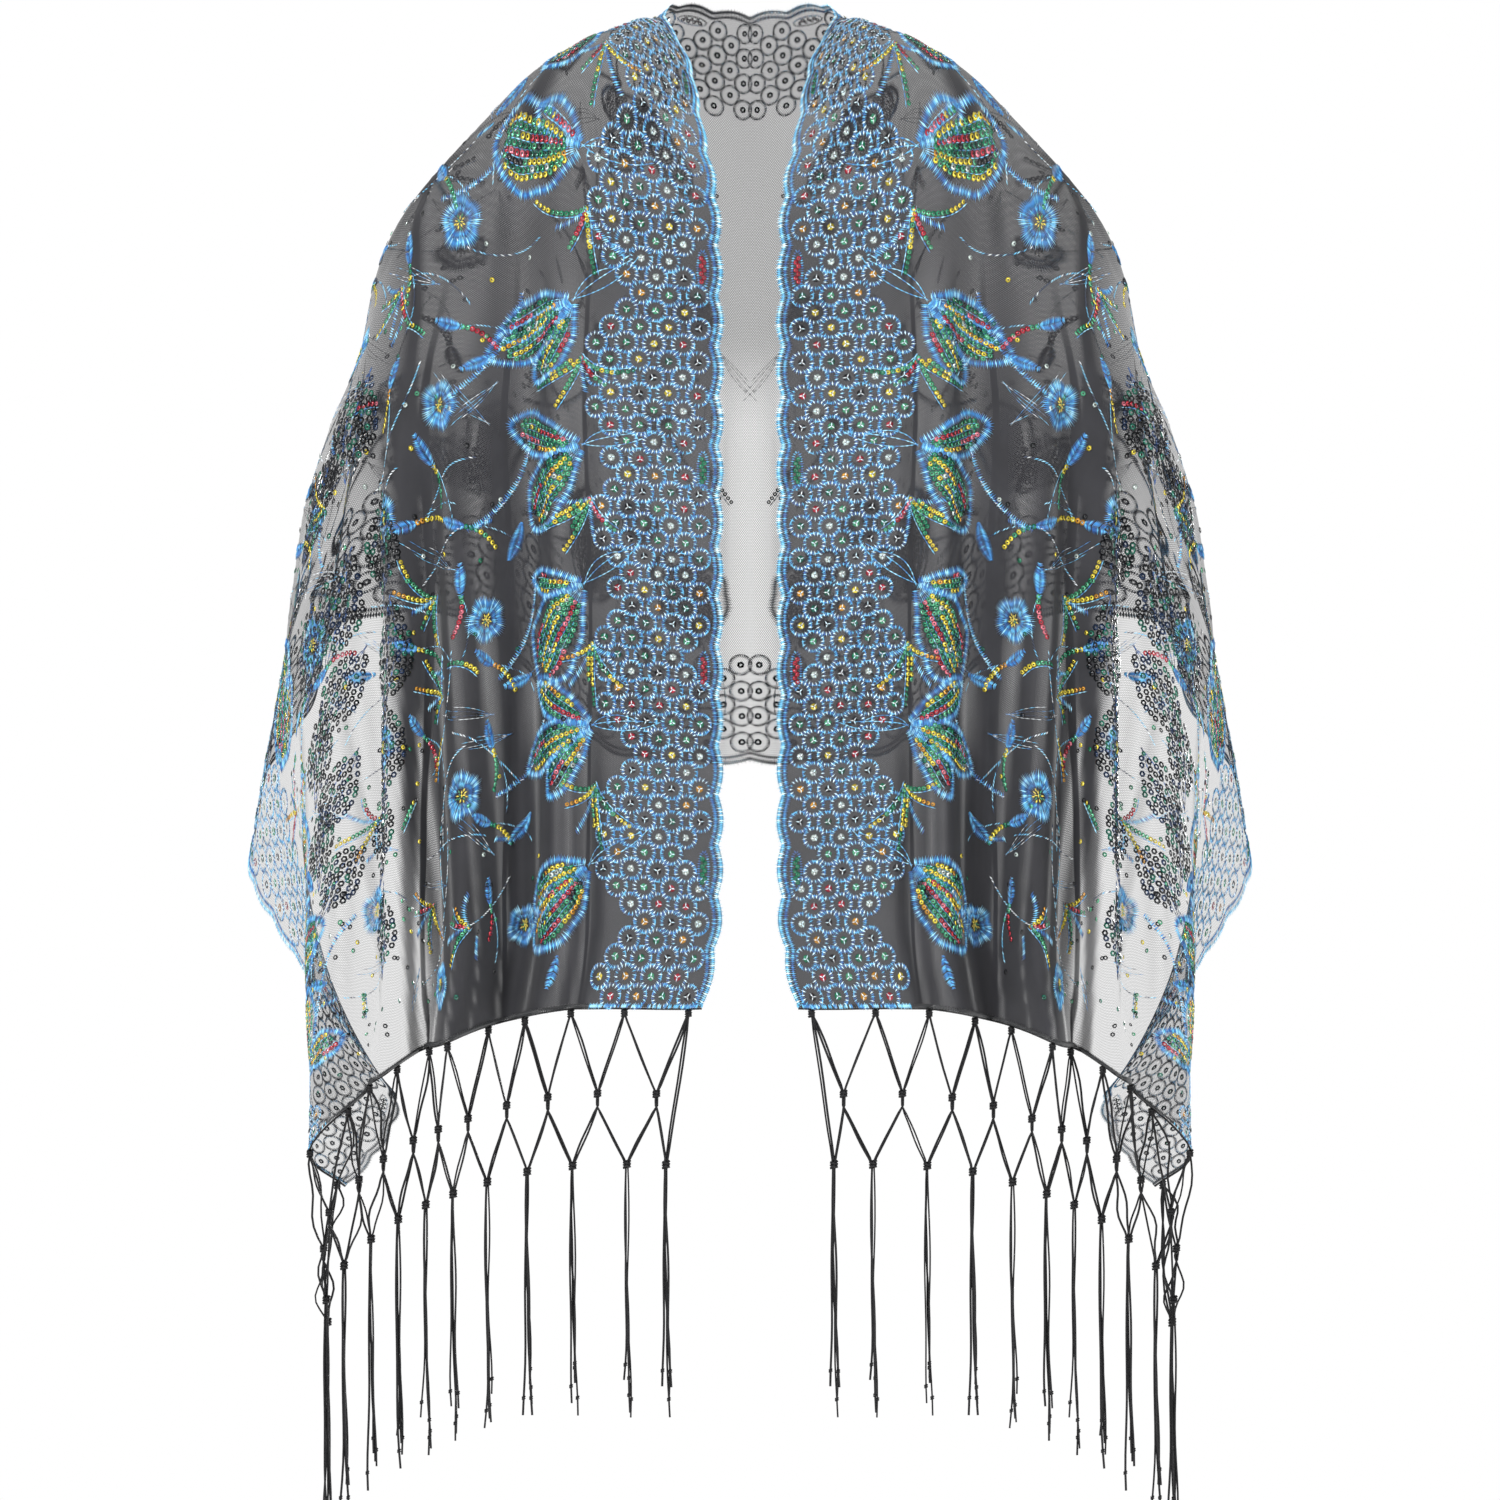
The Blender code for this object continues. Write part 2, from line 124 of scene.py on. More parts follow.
# %% Long folds of the fronts and of the back
FRONT_FOLDS = (
    # from_along, across_top, across_hem, depth_top, depth_hem, width_top, width_hem
    (0.30, 0.099, 0.098, 0.004, 0.014, 0.009, 0.012),
    (0.24, 0.148, 0.149, 0.018, 0.040, 0.028, 0.020),
    (0.34, 0.188, 0.182, -0.004, -0.012, 0.014, 0.012),
    (0.36, 0.216, 0.213, 0.009, 0.038, 0.014, 0.014),
    (0.36, 0.242, 0.240, -0.004, -0.012, 0.012, 0.012),
    (0.34, 0.264, 0.268, 0.010, 0.028, 0.014, 0.016),
)
FOLD_ONSET = 0.22
FOLD_GROWTH = 1.5
BACK_FOLDS = (
    # along, depth at the outer edge, width
    (0.000, 0.010, 0.030),
    (0.055, -0.008, 0.026),
    (0.108, 0.012, 0.027),
    (0.160, -0.008, 0.026),
    (0.212, 0.011, 0.028),
    (0.268, -0.008, 0.028),
    (0.326, 0.009, 0.030),
    (0.390, -0.006, 0.030),
)
BACK_FOLDS_FROM = 0.15
DOWN_STEP = 0.0005


# %% The curve through the rows
def smooth_step(value, start, end):
    share = np.clip((value - start) / (end - start), 0.0, 1.0)
    return share * share * (3.0 - 2.0 * share)


def curve_through(knots, values, at):
    knots, values, at = (np.asarray(item, float) for item in (knots, values, at))
    slopes = np.gradient(values, knots, axis=0)
    index = np.clip(np.searchsorted(knots, at, side="right") - 1, 0, len(knots) - 2)
    step = knots[index + 1] - knots[index]
    share = (at - knots[index]) / step
    shape = (-1,) + (1,) * (values.ndim - 1)
    share, step = share.reshape(shape), step.reshape(shape)
    start, end = values[index], values[index + 1]
    return (
        (2 * share**3 - 3 * share**2 + 1) * start
        + (share**3 - 2 * share**2 + share) * step * slopes[index]
        + (3 * share**2 - 2 * share**3) * end
        + (share**3 - share**2) * step * slopes[index + 1]
    )


section_places = np.array([row[0] for row in SECTIONS])
section_points = np.array([row[1:] for row in SECTIONS])
mirrored = section_points[[2, 1]] * (-1.0, 1.0, 1.0)
section_places = np.concatenate([-section_places[[2, 1]], section_places])
section_points = np.concatenate([mirrored, section_points])
print("cross sections:", len(SECTIONS), "and", len(mirrored), "mirrored ones")


# %% One line across the cloth, with its folds
def lengths_along(line):
    steps = np.linalg.norm(np.diff(line, axis=0), axis=1)
    return np.concatenate([[0.0], np.cumsum(steps)])


def plain_line(along):
    five = curve_through(section_places, section_points, [along])[0]
    reach = lengths_along(five)
    return curve_through(reach, five, np.linspace(0.0, reach[-1], SAMPLES_ACROSS))


def fold_depths(along, reach):
    depth = np.zeros_like(reach)
    for from_along, at_top, at_hem, deep_top, deep_hem, wide_top, wide_hem in FRONT_FOLDS:
        share = np.clip((along - from_along) / (HALF_LENGTH - from_along), 0.0, 1.0)
        place = at_top + (at_hem - at_top) * share
        width = wide_top + (wide_hem - wide_top) * share
        deep = deep_top + (deep_hem - deep_top) * share ** FOLD_GROWTH
        deep *= smooth_step(share, 0.0, FOLD_ONSET)
        depth += deep * np.exp(-(((reach - place) / width) ** 2))
    down = smooth_step(reach / reach[-1], BACK_FOLDS_FROM, 1.0)
    for at, deep, width in BACK_FOLDS:
        depth += deep * down * np.exp(-(((along - at) / width) ** 2))
    return depth


def folded_line(along):
    side, along = (-1.0 if along < 0 else 1.0), abs(along)
    line = plain_line(along)
    downward = plain_line(along + DOWN_STEP) - plain_line(along - DOWN_STEP)
    normal = np.cross(np.gradient(line, axis=0), downward)
    normal /= np.linalg.norm(normal, axis=1)[:, None]
    line = line + normal * fold_depths(along, lengths_along(line))[:, None]
    return line * (side, 1.0, 1.0), lengths_along(line)


# %% [markdown]
# ## Sampling the cloth once
# Thousands of stitches need a place on the cloth, so the drape is worked out once on a fine
# grid, and every piece reads its places from that grid. Small creases are added there too, so
# the net, its thread and its sequins all follow them. Each crease is a soft trough or ridge
# between two points of the cloth, and no two have the same length, depth or direction. Where
# the net gathers it looks denser: on the hanging fronts and at the hems, and in narrow pleats.
# The sides and the back hang open in one thin layer, so they are drawn lighter.

# %% Small creases
CREASES = (
    # from along and across, to along and across, depth inward, half width
    (0.17, 0.10, 0.30, 0.24, 0.0040, 0.007),
    (0.19, 0.13, 0.36, 0.17, -0.0030, 0.006),
    (0.22, 0.17, 0.33, 0.29, 0.0035, 0.008),
    (0.14, 0.13, 0.21, 0.31, 0.0030, 0.007),
    (0.10, 0.12, 0.13, 0.30, -0.0025, 0.008),
    (0.31, 0.12, 0.47, 0.13, 0.0020, 0.005),
    (0.42, 0.11, 0.60, 0.12, -0.0018, 0.006),
    (0.56, 0.16, 0.82, 0.17, 0.0024, 0.005),
    (0.62, 0.115, 0.83, 0.118, 0.0026, 0.004),
    (0.45, 0.19, 0.66, 0.20, -0.0020, 0.005),
    (0.40, 0.29, 0.58, 0.34, 0.0040, 0.008),
    (0.36, 0.33, 0.50, 0.42, -0.0035, 0.009),
    (0.52, 0.31, 0.74, 0.33, 0.0035, 0.007),
    (0.63, 0.35, 0.80, 0.41, -0.0030, 0.008),
    (0.28, 0.30, 0.40, 0.47, 0.0040, 0.010),
    (0.20, 0.28, 0.27, 0.48, -0.0035, 0.009),
    (0.05, 0.16, 0.08, 0.37, 0.0030, 0.008),
    (0.02, 0.24, 0.03, 0.50, -0.0028, 0.008),
    (0.13, 0.33, 0.14, 0.53, 0.0032, 0.009),
    (0.00, 0.03, 0.09, 0.05, 0.0020, 0.007),
    (0.72, 0.44, 0.80, 0.54, 0.0025, 0.008),
    (0.68, 0.02, 0.80, 0.05, 0.0012, 0.006),
    (0.33, 0.03, 0.50, 0.06, -0.0012, 0.008),
)
CREASE_WANDER = 0.12


def crease_depths(along, across):
    depth = np.zeros(np.broadcast(along, across).shape)
    for start_u, start_v, end_u, end_v, deep, wide in CREASES:
        run_u, run_v = end_u - start_u, end_v - start_v
        length = math.hypot(run_u, run_v)
        share = ((along - start_u) * run_u + (across - start_v) * run_v) / length**2
        off = ((along - start_u) * run_v - (across - start_v) * run_u) / length
        off = off + CREASE_WANDER * wide * np.sin(9.0 * share + 40.0 * start_u)
        fade = smooth_step(share, 0.0, 0.35) * (1.0 - smooth_step(share, 0.6, 1.0))
        depth += deep * fade * np.exp(-((off / wide) ** 2))
    return depth


# %% The sampled cloth
GRID_ALONG = 831
GRID_ACROSS = 221
GATHER_STEEPNESS = 1.2
GATHER_POWER = 1.3
GATHER_LIMIT = 1.5
PLEATS = (
    # from along, to along, across at the top and at the foot, half width, how dense
    (0.22, 0.47, 0.225, 0.226, 0.0060, 1.1),
    (0.36, 0.90, 0.214, 0.337, 0.0080, 1.4),
    (0.20, 0.25, 0.135, 0.138, 0.0100, 1.1),
    (0.38, 0.80, 0.330, 0.352, 0.0050, 0.4),
    (0.40, 0.70, 0.380, 0.420, 0.0050, 0.4),
)
PLEAT_WANDER = 0.0015
# between which places the dense front begins along the cloth and ends across it, and between
# which the light sides and the dense hems begin along it
FRONT_BEGINS = (0.22, 0.32)
FRONT_ENDS = (0.23, 0.31)
SIDE_BEGINS = (0.25, 0.40)
HEM_BEGINS = (0.62, 0.70)
FRONT_DENSITY = 0.58
BORDER_DENSITY = 0.22
HEM_DENSITY = 0.30
BACK_THINNING = 0.60
SIDE_THINNING = 0.68

grid_u = np.linspace(-HALF_LENGTH, HALF_LENGTH, GRID_ALONG)
grid_v = np.linspace(0.0, WIDTH, GRID_ACROSS)


def sampled_row(along):
    """Places across the cloth, with the depth of the folds there as a fourth column."""
    line, reach = folded_line(along)
    wanted = grid_v / WIDTH * reach[-1]
    line = np.concatenate([line, fold_depths(abs(along), reach)[:, None]], axis=1)
    return np.stack([np.interp(wanted, reach, line[:, k]) for k in range(4)], axis=1)


def outward_of(points):
    normal = np.cross(np.gradient(points, axis=0), np.gradient(points, axis=1))
    return normal / np.linalg.norm(normal, axis=2)[:, :, None]


sampled = np.array([sampled_row(along) for along in grid_u])
grid_points, grid_depth = sampled[:, :, :3], sampled[:, :, 3]
grid_outward = outward_of(grid_points)
inward_depth = crease_depths(np.abs(grid_u)[:, None], grid_v[None, :])
grid_points = grid_points - grid_outward * inward_depth[:, :, None]
grid_outward = outward_of(grid_points)
grid_depth = grid_depth + inward_depth
steepness = np.hypot(
    np.gradient(grid_depth, grid_u, axis=0), np.gradient(grid_depth, grid_v, axis=1)
)
grid_gather = np.clip(steepness / GATHER_STEEPNESS, 0.0, 1.0) ** GATHER_POWER
for start_u, end_u, start_v, end_v, wide, amount in PLEATS:
    share = (np.abs(grid_u)[:, None] - start_u) / (end_u - start_u)
    centre = start_v + (end_v - start_v) * share + PLEAT_WANDER * np.sin(7.0 * share)
    shown = smooth_step(share, 0.0, 0.2) * (1.0 - smooth_step(share, 0.92, 1.0))
    grid_gather += amount * shown * np.exp(-(((grid_v[None, :] - centre) / wide) ** 4))
on_front = smooth_step(np.abs(grid_u), *FRONT_BEGINS)[:, None]
towards_front = 1.0 - smooth_step(grid_v, *FRONT_ENDS)[None, :]
on_side = smooth_step(np.abs(grid_u), *SIDE_BEGINS)[:, None]
near_hem = smooth_step(np.abs(grid_u), *HEM_BEGINS)[:, None]
thinning = BACK_THINNING + (SIDE_THINNING - BACK_THINNING) * on_side
grid_gather += (FRONT_DENSITY * on_front + HEM_DENSITY * near_hem) * towards_front
grid_gather += BORDER_DENSITY * on_front * (grid_v < BORDER_WIDTH)[None, :]
grid_gather -= thinning * (1.0 - towards_front)
grid_gather = np.clip(grid_gather, -SIDE_THINNING, GATHER_LIMIT)
print("cloth grid:", grid_points.shape, "mean gather:", round(float(grid_gather.mean()), 3))


# %% Where a point of the cloth is
def blended(table, row, column, down, right):
    near = table[row, column] * (1 - right) + table[row, column + 1] * right
    far = table[row + 1, column] * (1 - right) + table[row + 1, column + 1] * right
    return near * (1 - down) + far * down


def place(along, across, height=0.0):
    """Places in space of points of the cloth, raised by a height on its outer side."""
    at_u = (np.asarray(along, float) + HALF_LENGTH) / (2 * HALF_LENGTH) * (GRID_ALONG - 1)
    at_v = np.asarray(across, float) / WIDTH * (GRID_ACROSS - 1)
    row = np.clip(np.floor(at_u), 0, GRID_ALONG - 2).astype(int)
    column = np.clip(np.floor(at_v), 0, GRID_ACROSS - 2).astype(int)
    down, right = (at_u - row)[..., None], (at_v - column)[..., None]
    spot = blended(grid_points, row, column, down, right)
    out = blended(grid_outward, row, column, np.clip(down, 0, 1), np.clip(right, 0, 1))
    return spot + out * np.broadcast_to(height, spot.shape[:-1])[..., None]


# %% [markdown]
# ## Colours and shared surface effects
# The threads are a glossy rayon in light, middle and royal blue. Their tints run from a near-white
# pale to navy, and the random mix of them is partly the thread's own blues and partly painted
# highlight and painted shade on the thread. The sequins are gold, green, red, black and clear.
# Each stitch and sequin carries its own colour in the attribute "tint", so one material serves
# thousands of them. Two effects are shared by several materials: a fine thread grain, and a slow
# patchy change of tone such as cloth has.

# %% Colours
def linear(code):
    """A colour written as six hexadecimal digits, made linear for the shader."""
    parts = [int(code[k:k + 2], 16) / 255 for k in (0, 2, 4)]
    return tuple(p / 12.92 if p <= 0.04045 else ((p + 0.055) / 1.055) ** 2.4 for p in parts)


# pale and navy are partly thread colours and partly painted highlight and painted shade on blue
# thread
TINTS = {
    "pale": "D6F0FB", "light": "98D4EF", "sky": "5CB0DA", "mid": "2C79B8", "royal": "174F90",
    "navy": "0D2748",
    "silver": "DCE2E6", "gold": "D8C440", "amber": "C98F2E", "emerald": "1C7C58",
    "green": "4C9E76", "leaf": "1D6250", "ruby": "A92838", "rose": "D0707F",
    "jet": "14161A", "clear": "B9C6C0",
}
TINT_NUMBER = {name: number for number, name in enumerate(TINTS)}
TINT_TABLE = np.array([linear(code) for code in TINTS.values()])


# %% Shader helpers
def new_group(name, inputs, outputs):
    group = bpy.data.node_groups.new(name, "ShaderNodeTree")
    for label, kind, value in inputs:
        socket = group.interface.new_socket(label, in_out="INPUT", socket_type=kind)
        if value is not None:
            socket.default_value = value
    for label, kind in outputs:
        group.interface.new_socket(label, in_out="OUTPUT", socket_type=kind)
    return group, group.nodes.new("NodeGroupInput"), group.nodes.new("NodeGroupOutput")


def add_node(tree, kind, settings=(), values=()):
    node = tree.nodes.new(kind)
    for key, value in settings:
        setattr(node, key, value)
    for key, value in values:
        node.inputs[key].default_value = value
    return node


def maths(tree, operation, *sources, clamp=False):
    """The output of a maths node that is fed by sockets or by plain numbers."""
    node = add_node(tree, "ShaderNodeMath", [("operation", operation), ("use_clamp", clamp)])
    for socket, source in zip(node.inputs, sources):
        if isinstance(source, float):
            socket.default_value = source
        else:
            tree.links.new(source, socket)
    return node.outputs[0]


# %% The shared effects: thread grain and patchy tone
def grain_group():
    group, given, result = new_group(
        "thread_grain",
        [("Vector", "NodeSocketVector", None), ("Scale", "NodeSocketFloat", 900.0)],
        [("Height", "NodeSocketFloat")],
    )
    noise = add_node(group, "ShaderNodeTexNoise", values=[("Detail", 2.0)])
    group.links.new(given.outputs["Vector"], noise.inputs["Vector"])
    group.links.new(given.outputs["Scale"], noise.inputs["Scale"])
    group.links.new(noise.outputs["Fac"], result.inputs["Height"])
    return group


def patchy_group():
    group, given, result = new_group(
        "patchy_tone",
        [("Color", "NodeSocketColor", (1, 1, 1, 1)), ("Vector", "NodeSocketVector", None),
         ("Scale", "NodeSocketFloat", 30.0), ("Amount", "NodeSocketFloat", 0.2)],
        [("Color", "NodeSocketColor")],
    )
    noise = add_node(group, "ShaderNodeTexNoise", values=[("Detail", 3.0)])
    centred = maths(group, "SUBTRACT", noise.outputs["Fac"], 0.5)
    scaled = maths(group, "MULTIPLY", centred, given.outputs["Amount"])
    bright = maths(group, "MULTIPLY_ADD", scaled, 2.0, 1.0)
    tone = add_node(group, "ShaderNodeHueSaturation")
    group.links.new(given.outputs["Vector"], noise.inputs["Vector"])
    group.links.new(given.outputs["Scale"], noise.inputs["Scale"])
    group.links.new(bright, tone.inputs["Value"])
    group.links.new(given.outputs["Color"], tone.inputs["Color"])
    group.links.new(tone.outputs["Color"], result.inputs["Color"])
    return group


thread_grain = grain_group()
patchy_tone = patchy_group()


def new_material(name, constants):
    made = bpy.data.materials.new(name)
    made.use_nodes = True
    shader = made.node_tree.nodes["Principled BSDF"]
    for socket, value in constants:
        shader.inputs[socket].default_value = value
    print("material:", name)
    return made, made.node_tree, shader


def use_group(tree, group, values=()):
    node = tree.nodes.new("ShaderNodeGroup")
    node.node_tree = group
    for key, value in values:
        node.inputs[key].default_value = value
    return node


# %% [markdown]
# ## The net
# Real net has holes of about a millimetre, far too many to cut. A mesh pattern in the alpha of
# one thin shell shows them instead: two sets of slanting threads that cross as diamonds. It
# reads the cloth's own UV map, in metres, so it follows every fold. On the steep sides of a
# fold the threads crowd together and the net looks darker, so the shell carries how steep the
# folds are in the attribute "gather", and that raises the alpha there. Where the cloth doubles
# over itself in a sharp fold, a narrow dark line follows the UV map.

# %% Shared effect: a sharp fold
FOLD_FADES_IN = 0.12


def fold_group():
    group, given, result = new_group(
        "sharp_fold",
        [("Along", "NodeSocketFloat", 0.0), ("Across", "NodeSocketFloat", 0.0),
         ("Centre", "NodeSocketFloat", 0.1), ("Slope", "NodeSocketFloat", 0.0),
         ("Half Width", "NodeSocketFloat", 0.002), ("From", "NodeSocketFloat", 0.3)],
        [("Amount", "NodeSocketFloat")],
    )
    taken = given.outputs
    along = maths(group, "ABSOLUTE", taken["Along"])
    centre = maths(group, "MULTIPLY_ADD", along, taken["Slope"], taken["Centre"])
    off = maths(group, "ABSOLUTE", maths(group, "SUBTRACT", taken["Across"], centre))
    near = add_node(
        group, "ShaderNodeMapRange", [("interpolation_type", "SMOOTHSTEP")],
        [("From Min", 0.4), ("From Max", 1.0), ("To Min", 1.0), ("To Max", 0.0)])
    begun = add_node(
        group, "ShaderNodeMapRange", [("interpolation_type", "SMOOTHSTEP")],
        [("From Max", FOLD_FADES_IN)])
    group.links.new(maths(group, "DIVIDE", off, taken["Half Width"]), near.inputs["Value"])
    group.links.new(maths(group, "SUBTRACT", along, taken["From"]), begun.inputs["Value"])
    amount = maths(group, "MULTIPLY", near.outputs[0], begun.outputs[0])
    group.links.new(amount, result.inputs["Amount"])
    return group


sharp_fold = fold_group()
print("shared effects:", [group.name for group in (thread_grain, patchy_tone, sharp_fold)])

# %% Net material
SHARP_FOLDS = (
    # across at the middle of the back, slope, half width, from along, how dense
    (0.1180, 0.0825, 0.0026, 0.30, 0.42),
    (0.0780, 0.0240, 0.0022, 0.28, 0.40),
    (0.1255, 0.2130, 0.0042, 0.31, 0.50),
    (0.1040, 0.0500, 0.0014, 0.52, 0.25),
)
NET_PITCH = 0.0011
NET_SLANT = math.radians(31.0)
WAVES_PER_UNIT = 20 / (2 * math.pi)
NET_HOLE_ALPHA = 0.36
NET_THREAD_ALPHA = 0.74
GATHERED_ALPHA = 0.42


def net_threads(tree, uv, slant):
    turn = add_node(tree, "ShaderNodeMapping", values=[("Rotation", (0.0, 0.0, slant))])
    wave = add_node(
        tree, "ShaderNodeTexWave", values=[("Scale", 1.0 / NET_PITCH / WAVES_PER_UNIT)])
    tree.links.new(uv.outputs["UV"], turn.inputs["Vector"])
    tree.links.new(turn.outputs["Vector"], wave.inputs["Vector"])
    return wave.outputs["Fac"]


def net_material():
    made, tree, shader = new_material(
        "black_net", [("Roughness", 0.75), ("Sheen Weight", 0.08), ("Specular IOR Level", 0.25)])
    uv = add_node(tree, "ShaderNodeUVMap", [("uv_map", "cloth")])
    one_way, other_way = (net_threads(tree, uv, slant) for slant in (NET_SLANT, -NET_SLANT))
    alpha = add_node(tree, "ShaderNodeMapRange", values=[
        ("From Min", 0.55), ("From Max", 0.95),
        ("To Min", NET_HOLE_ALPHA), ("To Max", NET_THREAD_ALPHA)])
    tree.links.new(maths(tree, "MAXIMUM", one_way, other_way), alpha.inputs["Value"])
    tone = use_group(tree, patchy_tone, [("Color", (0.016, 0.016, 0.019, 1)), ("Amount", 0.5)])
    tree.links.new(uv.outputs["UV"], tone.inputs["Vector"])
    gather = add_node(tree, "ShaderNodeAttribute", [("attribute_name", "gather")])
    density = maths(
        tree, "MULTIPLY_ADD", gather.outputs["Fac"], GATHERED_ALPHA, alpha.outputs[0], clamp=True)
    place_on = add_node(tree, "ShaderNodeSeparateXYZ")
    tree.links.new(uv.outputs["UV"], place_on.inputs[0])
    for centre, slope, half_width, begin, dense in SHARP_FOLDS:
        fold = use_group(tree, sharp_fold, [
            ("Centre", centre), ("Slope", slope), ("Half Width", half_width), ("From", begin)])
        tree.links.new(place_on.outputs["X"], fold.inputs["Along"])
        tree.links.new(place_on.outputs["Y"], fold.inputs["Across"])
        density = maths(
            tree, "MULTIPLY_ADD", fold.outputs["Amount"], dense, density, clamp=True)
    tree.links.new(density, shader.inputs["Alpha"])
    tree.links.new(tone.outputs["Color"], shader.inputs["Base Color"])
    return made


black_net = net_material()


# %% Net shell
NET_STEPS_ALONG = 384
NET_STEPS_ACROSS = 120
SCALLOPED_SHARE = 0.02


def scallop(along):
    """How far the free edge of a border stands out at a place along it."""
    return SCALLOP_DEPTH * np.abs(np.sin(math.pi * np.asarray(along) / SCALLOP_PITCH))


def net_shell():
    """A flat grid with the cloth's UV map, whose points are then laid on the drape."""
    build = bmesh.new()
    bmesh.ops.create_grid(
        build, x_segments=NET_STEPS_ALONG, y_segments=NET_STEPS_ACROSS, size=0.5
    )
    mesh = bpy.data.meshes.new("net")
    uv_layer = build.loops.layers.uv.new("cloth")
    for face in build.faces:
        for corner in face.loops:
            at = corner.vert.co
            corner[uv_layer].uv = (at.x * 2 * HALF_LENGTH, (at.y + 0.5) * WIDTH)
    build.to_mesh(mesh)
    build.free()
    flat = np.zeros(len(mesh.vertices) * 3)
    mesh.vertices.foreach_get("co", flat)
    flat = flat.reshape(-1, 3)
    along, share = flat[:, 0] * 2 * HALF_LENGTH, flat[:, 1] + 0.5
    bulge = scallop(along)
    reach = smooth_step(np.abs(share - 0.5), 0.5 - SCALLOPED_SHARE, 0.5) * np.sign(share - 0.5)
    spots = place(along, share * WIDTH + bulge * reach)
    mesh.vertices.foreach_set("co", spots.ravel())
    row = np.rint((along + HALF_LENGTH) / (2 * HALF_LENGTH) * (GRID_ALONG - 1)).astype(int)
    column = np.rint(share * (GRID_ACROSS - 1)).astype(int)
    gather = mesh.attributes.new("gather", "FLOAT", "POINT")
    gather.data.foreach_set("value", grid_gather[row, column].astype(np.float32))
    mesh.shade_smooth()
    mesh.materials.append(black_net)
    return in_scene("net", mesh)


net = net_shell()
print("net faces:", len(net.data.polygons))

# %% [markdown]
# ## Stitches and sequins
# A stitch is a short raised lick of thread, pointed at both ends: a three-sided cone and its
# mirror image. The faces of a stitch or a sequin that look down at the net are coloured dark, a
# painted shade where the lamps hardly reach them. A sequin is a shallow dished ring, made by
# spinning two edges that meet at its rim. Both are modelled once.
# Copies are then laid on the cloth as whole arrays, which is far quicker than one by one.

# %% One stitch and one sequin
def finished_shape(name, build):
    """A modelled shape as its points, its faces and which of those look down at the net."""
    mesh = bpy.data.meshes.new(name)
    build.to_mesh(mesh)
    build.free()
    points = np.array([vertex.co for vertex in mesh.vertices])
    faces = np.array([list(face.vertices) for face in mesh.polygons])
    under = np.array([face.normal.z < -0.5 for face in mesh.polygons])
    bpy.data.meshes.remove(mesh)
    return points, faces, under


def stitch_shape():
    build = bmesh.new()
    upright = Matrix.Rotation(math.pi / 2, 4, "Y")
    bmesh.ops.create_cone(
        build, cap_ends=False, segments=3, radius1=0.5, radius2=0.0, depth=0.5,
        matrix=Matrix.Translation((0.25, 0.0, 0.0)) @ upright,
    )
    bmesh.ops.mirror(
        build, geom=build.verts[:] + build.edges[:] + build.faces[:], axis="X", merge_dist=0.001
    )
    bmesh.ops.remove_doubles(build, verts=build.verts, dist=0.001)
    bmesh.ops.recalc_face_normals(build, faces=build.faces)
    return finished_shape("stitch", build)


SEQUIN_SIDES = 6
SEQUIN_HOLE = 0.38
SEQUIN_DISH = 0.16
SEQUIN_UNDERSIDE = -0.02


def sequin_shape():
    build = bmesh.new()
    heights = (SEQUIN_DISH, SEQUIN_UNDERSIDE)
    corners = ((1.0, 0.0, 0.0), *((SEQUIN_HOLE, 0.0, height) for height in heights))
    ring = [build.verts.new(corner) for corner in corners]
    edges = [build.edges.new((ring[0], ring[k])) for k in (1, 2)]
    bmesh.ops.spin(
        build, geom=ring + edges, cent=(0, 0, 0), axis=(0, 0, 1), angle=2 * math.pi,
        steps=SEQUIN_SIDES, use_merge=True,
    )
    bmesh.ops.recalc_face_normals(build, faces=build.faces)
    return finished_shape("sequin", build)


STITCH = stitch_shape()
SEQUIN = sequin_shape()
print("stitch faces:", len(STITCH[1]), "sequin faces:", len(SEQUIN[1]))


# %% Laying many copies on the cloth
TINT_VARIES = (0.8, 1.15)
# painted shade: the dark colour of every stitch and sequin face that looks down at the net
UNDERSIDE_SHADE = linear("22272D")


def laid_mesh(name, shape, rows, thickness, tilt, seed):
    """Rows are along, across, turn, length, width, tint number and lift."""
    points, faces, under = shape
    rows = np.array(rows, float)
    count, corners = len(rows), faces.shape[1]
    along, across, turn, length, width, tint, lift = (rows[:, [k]] for k in range(7))
    chance = np.random.default_rng(seed)
    x, y = points[None, :, 0] * length, points[None, :, 1] * width
    rise = chance.uniform(-tilt, tilt, (count, 2))
    height = points[None, :, 2] * thickness * width + rise[:, [0]] * x + rise[:, [1]] * y
    spots = place(
        along + np.cos(turn) * x - np.sin(turn) * y,
        across + np.sin(turn) * x + np.cos(turn) * y,
        height + lift,
    )
    mesh = bpy.data.meshes.new(name)
    mesh.vertices.add(count * len(points))
    mesh.vertices.foreach_set("co", spots.reshape(-1))
    order = (faces[None] + np.arange(count)[:, None, None] * len(points)).reshape(-1)
    mesh.loops.add(len(order))
    mesh.loops.foreach_set("vertex_index", order.astype(np.int32))
    mesh.polygons.add(count * len(faces))
    starts = np.arange(0, len(order), corners, dtype=np.int32)
    mesh.polygons.foreach_set("loop_start", starts)
    mesh.update(calc_edges=True)
    colours = np.ones((count, len(faces), corners, 4), np.float32)
    shade = TINT_TABLE[tint[:, 0].astype(int)] * chance.uniform(*TINT_VARIES, (count, 1))
    colours[..., :3] = shade[:, None, None, :]
    # painted shade on the faces that look down at the net
    colours[:, under, :, :3] = UNDERSIDE_SHADE
    layer = mesh.color_attributes.new("tint", "FLOAT_COLOR", "CORNER")
    layer.data.foreach_set("color", colours.reshape(-1))
    return mesh


def laid_piece(name, shape, rows, surface, thickness, tilt, seed, smooth):
    mesh = laid_mesh(name, shape, rows, thickness, tilt, seed)
    mesh.materials.append(surface)
    if smooth:
        mesh.shade_smooth()
    print(name, len(rows), "copies,", len(mesh.polygons), "faces")
    return in_scene(name, mesh)


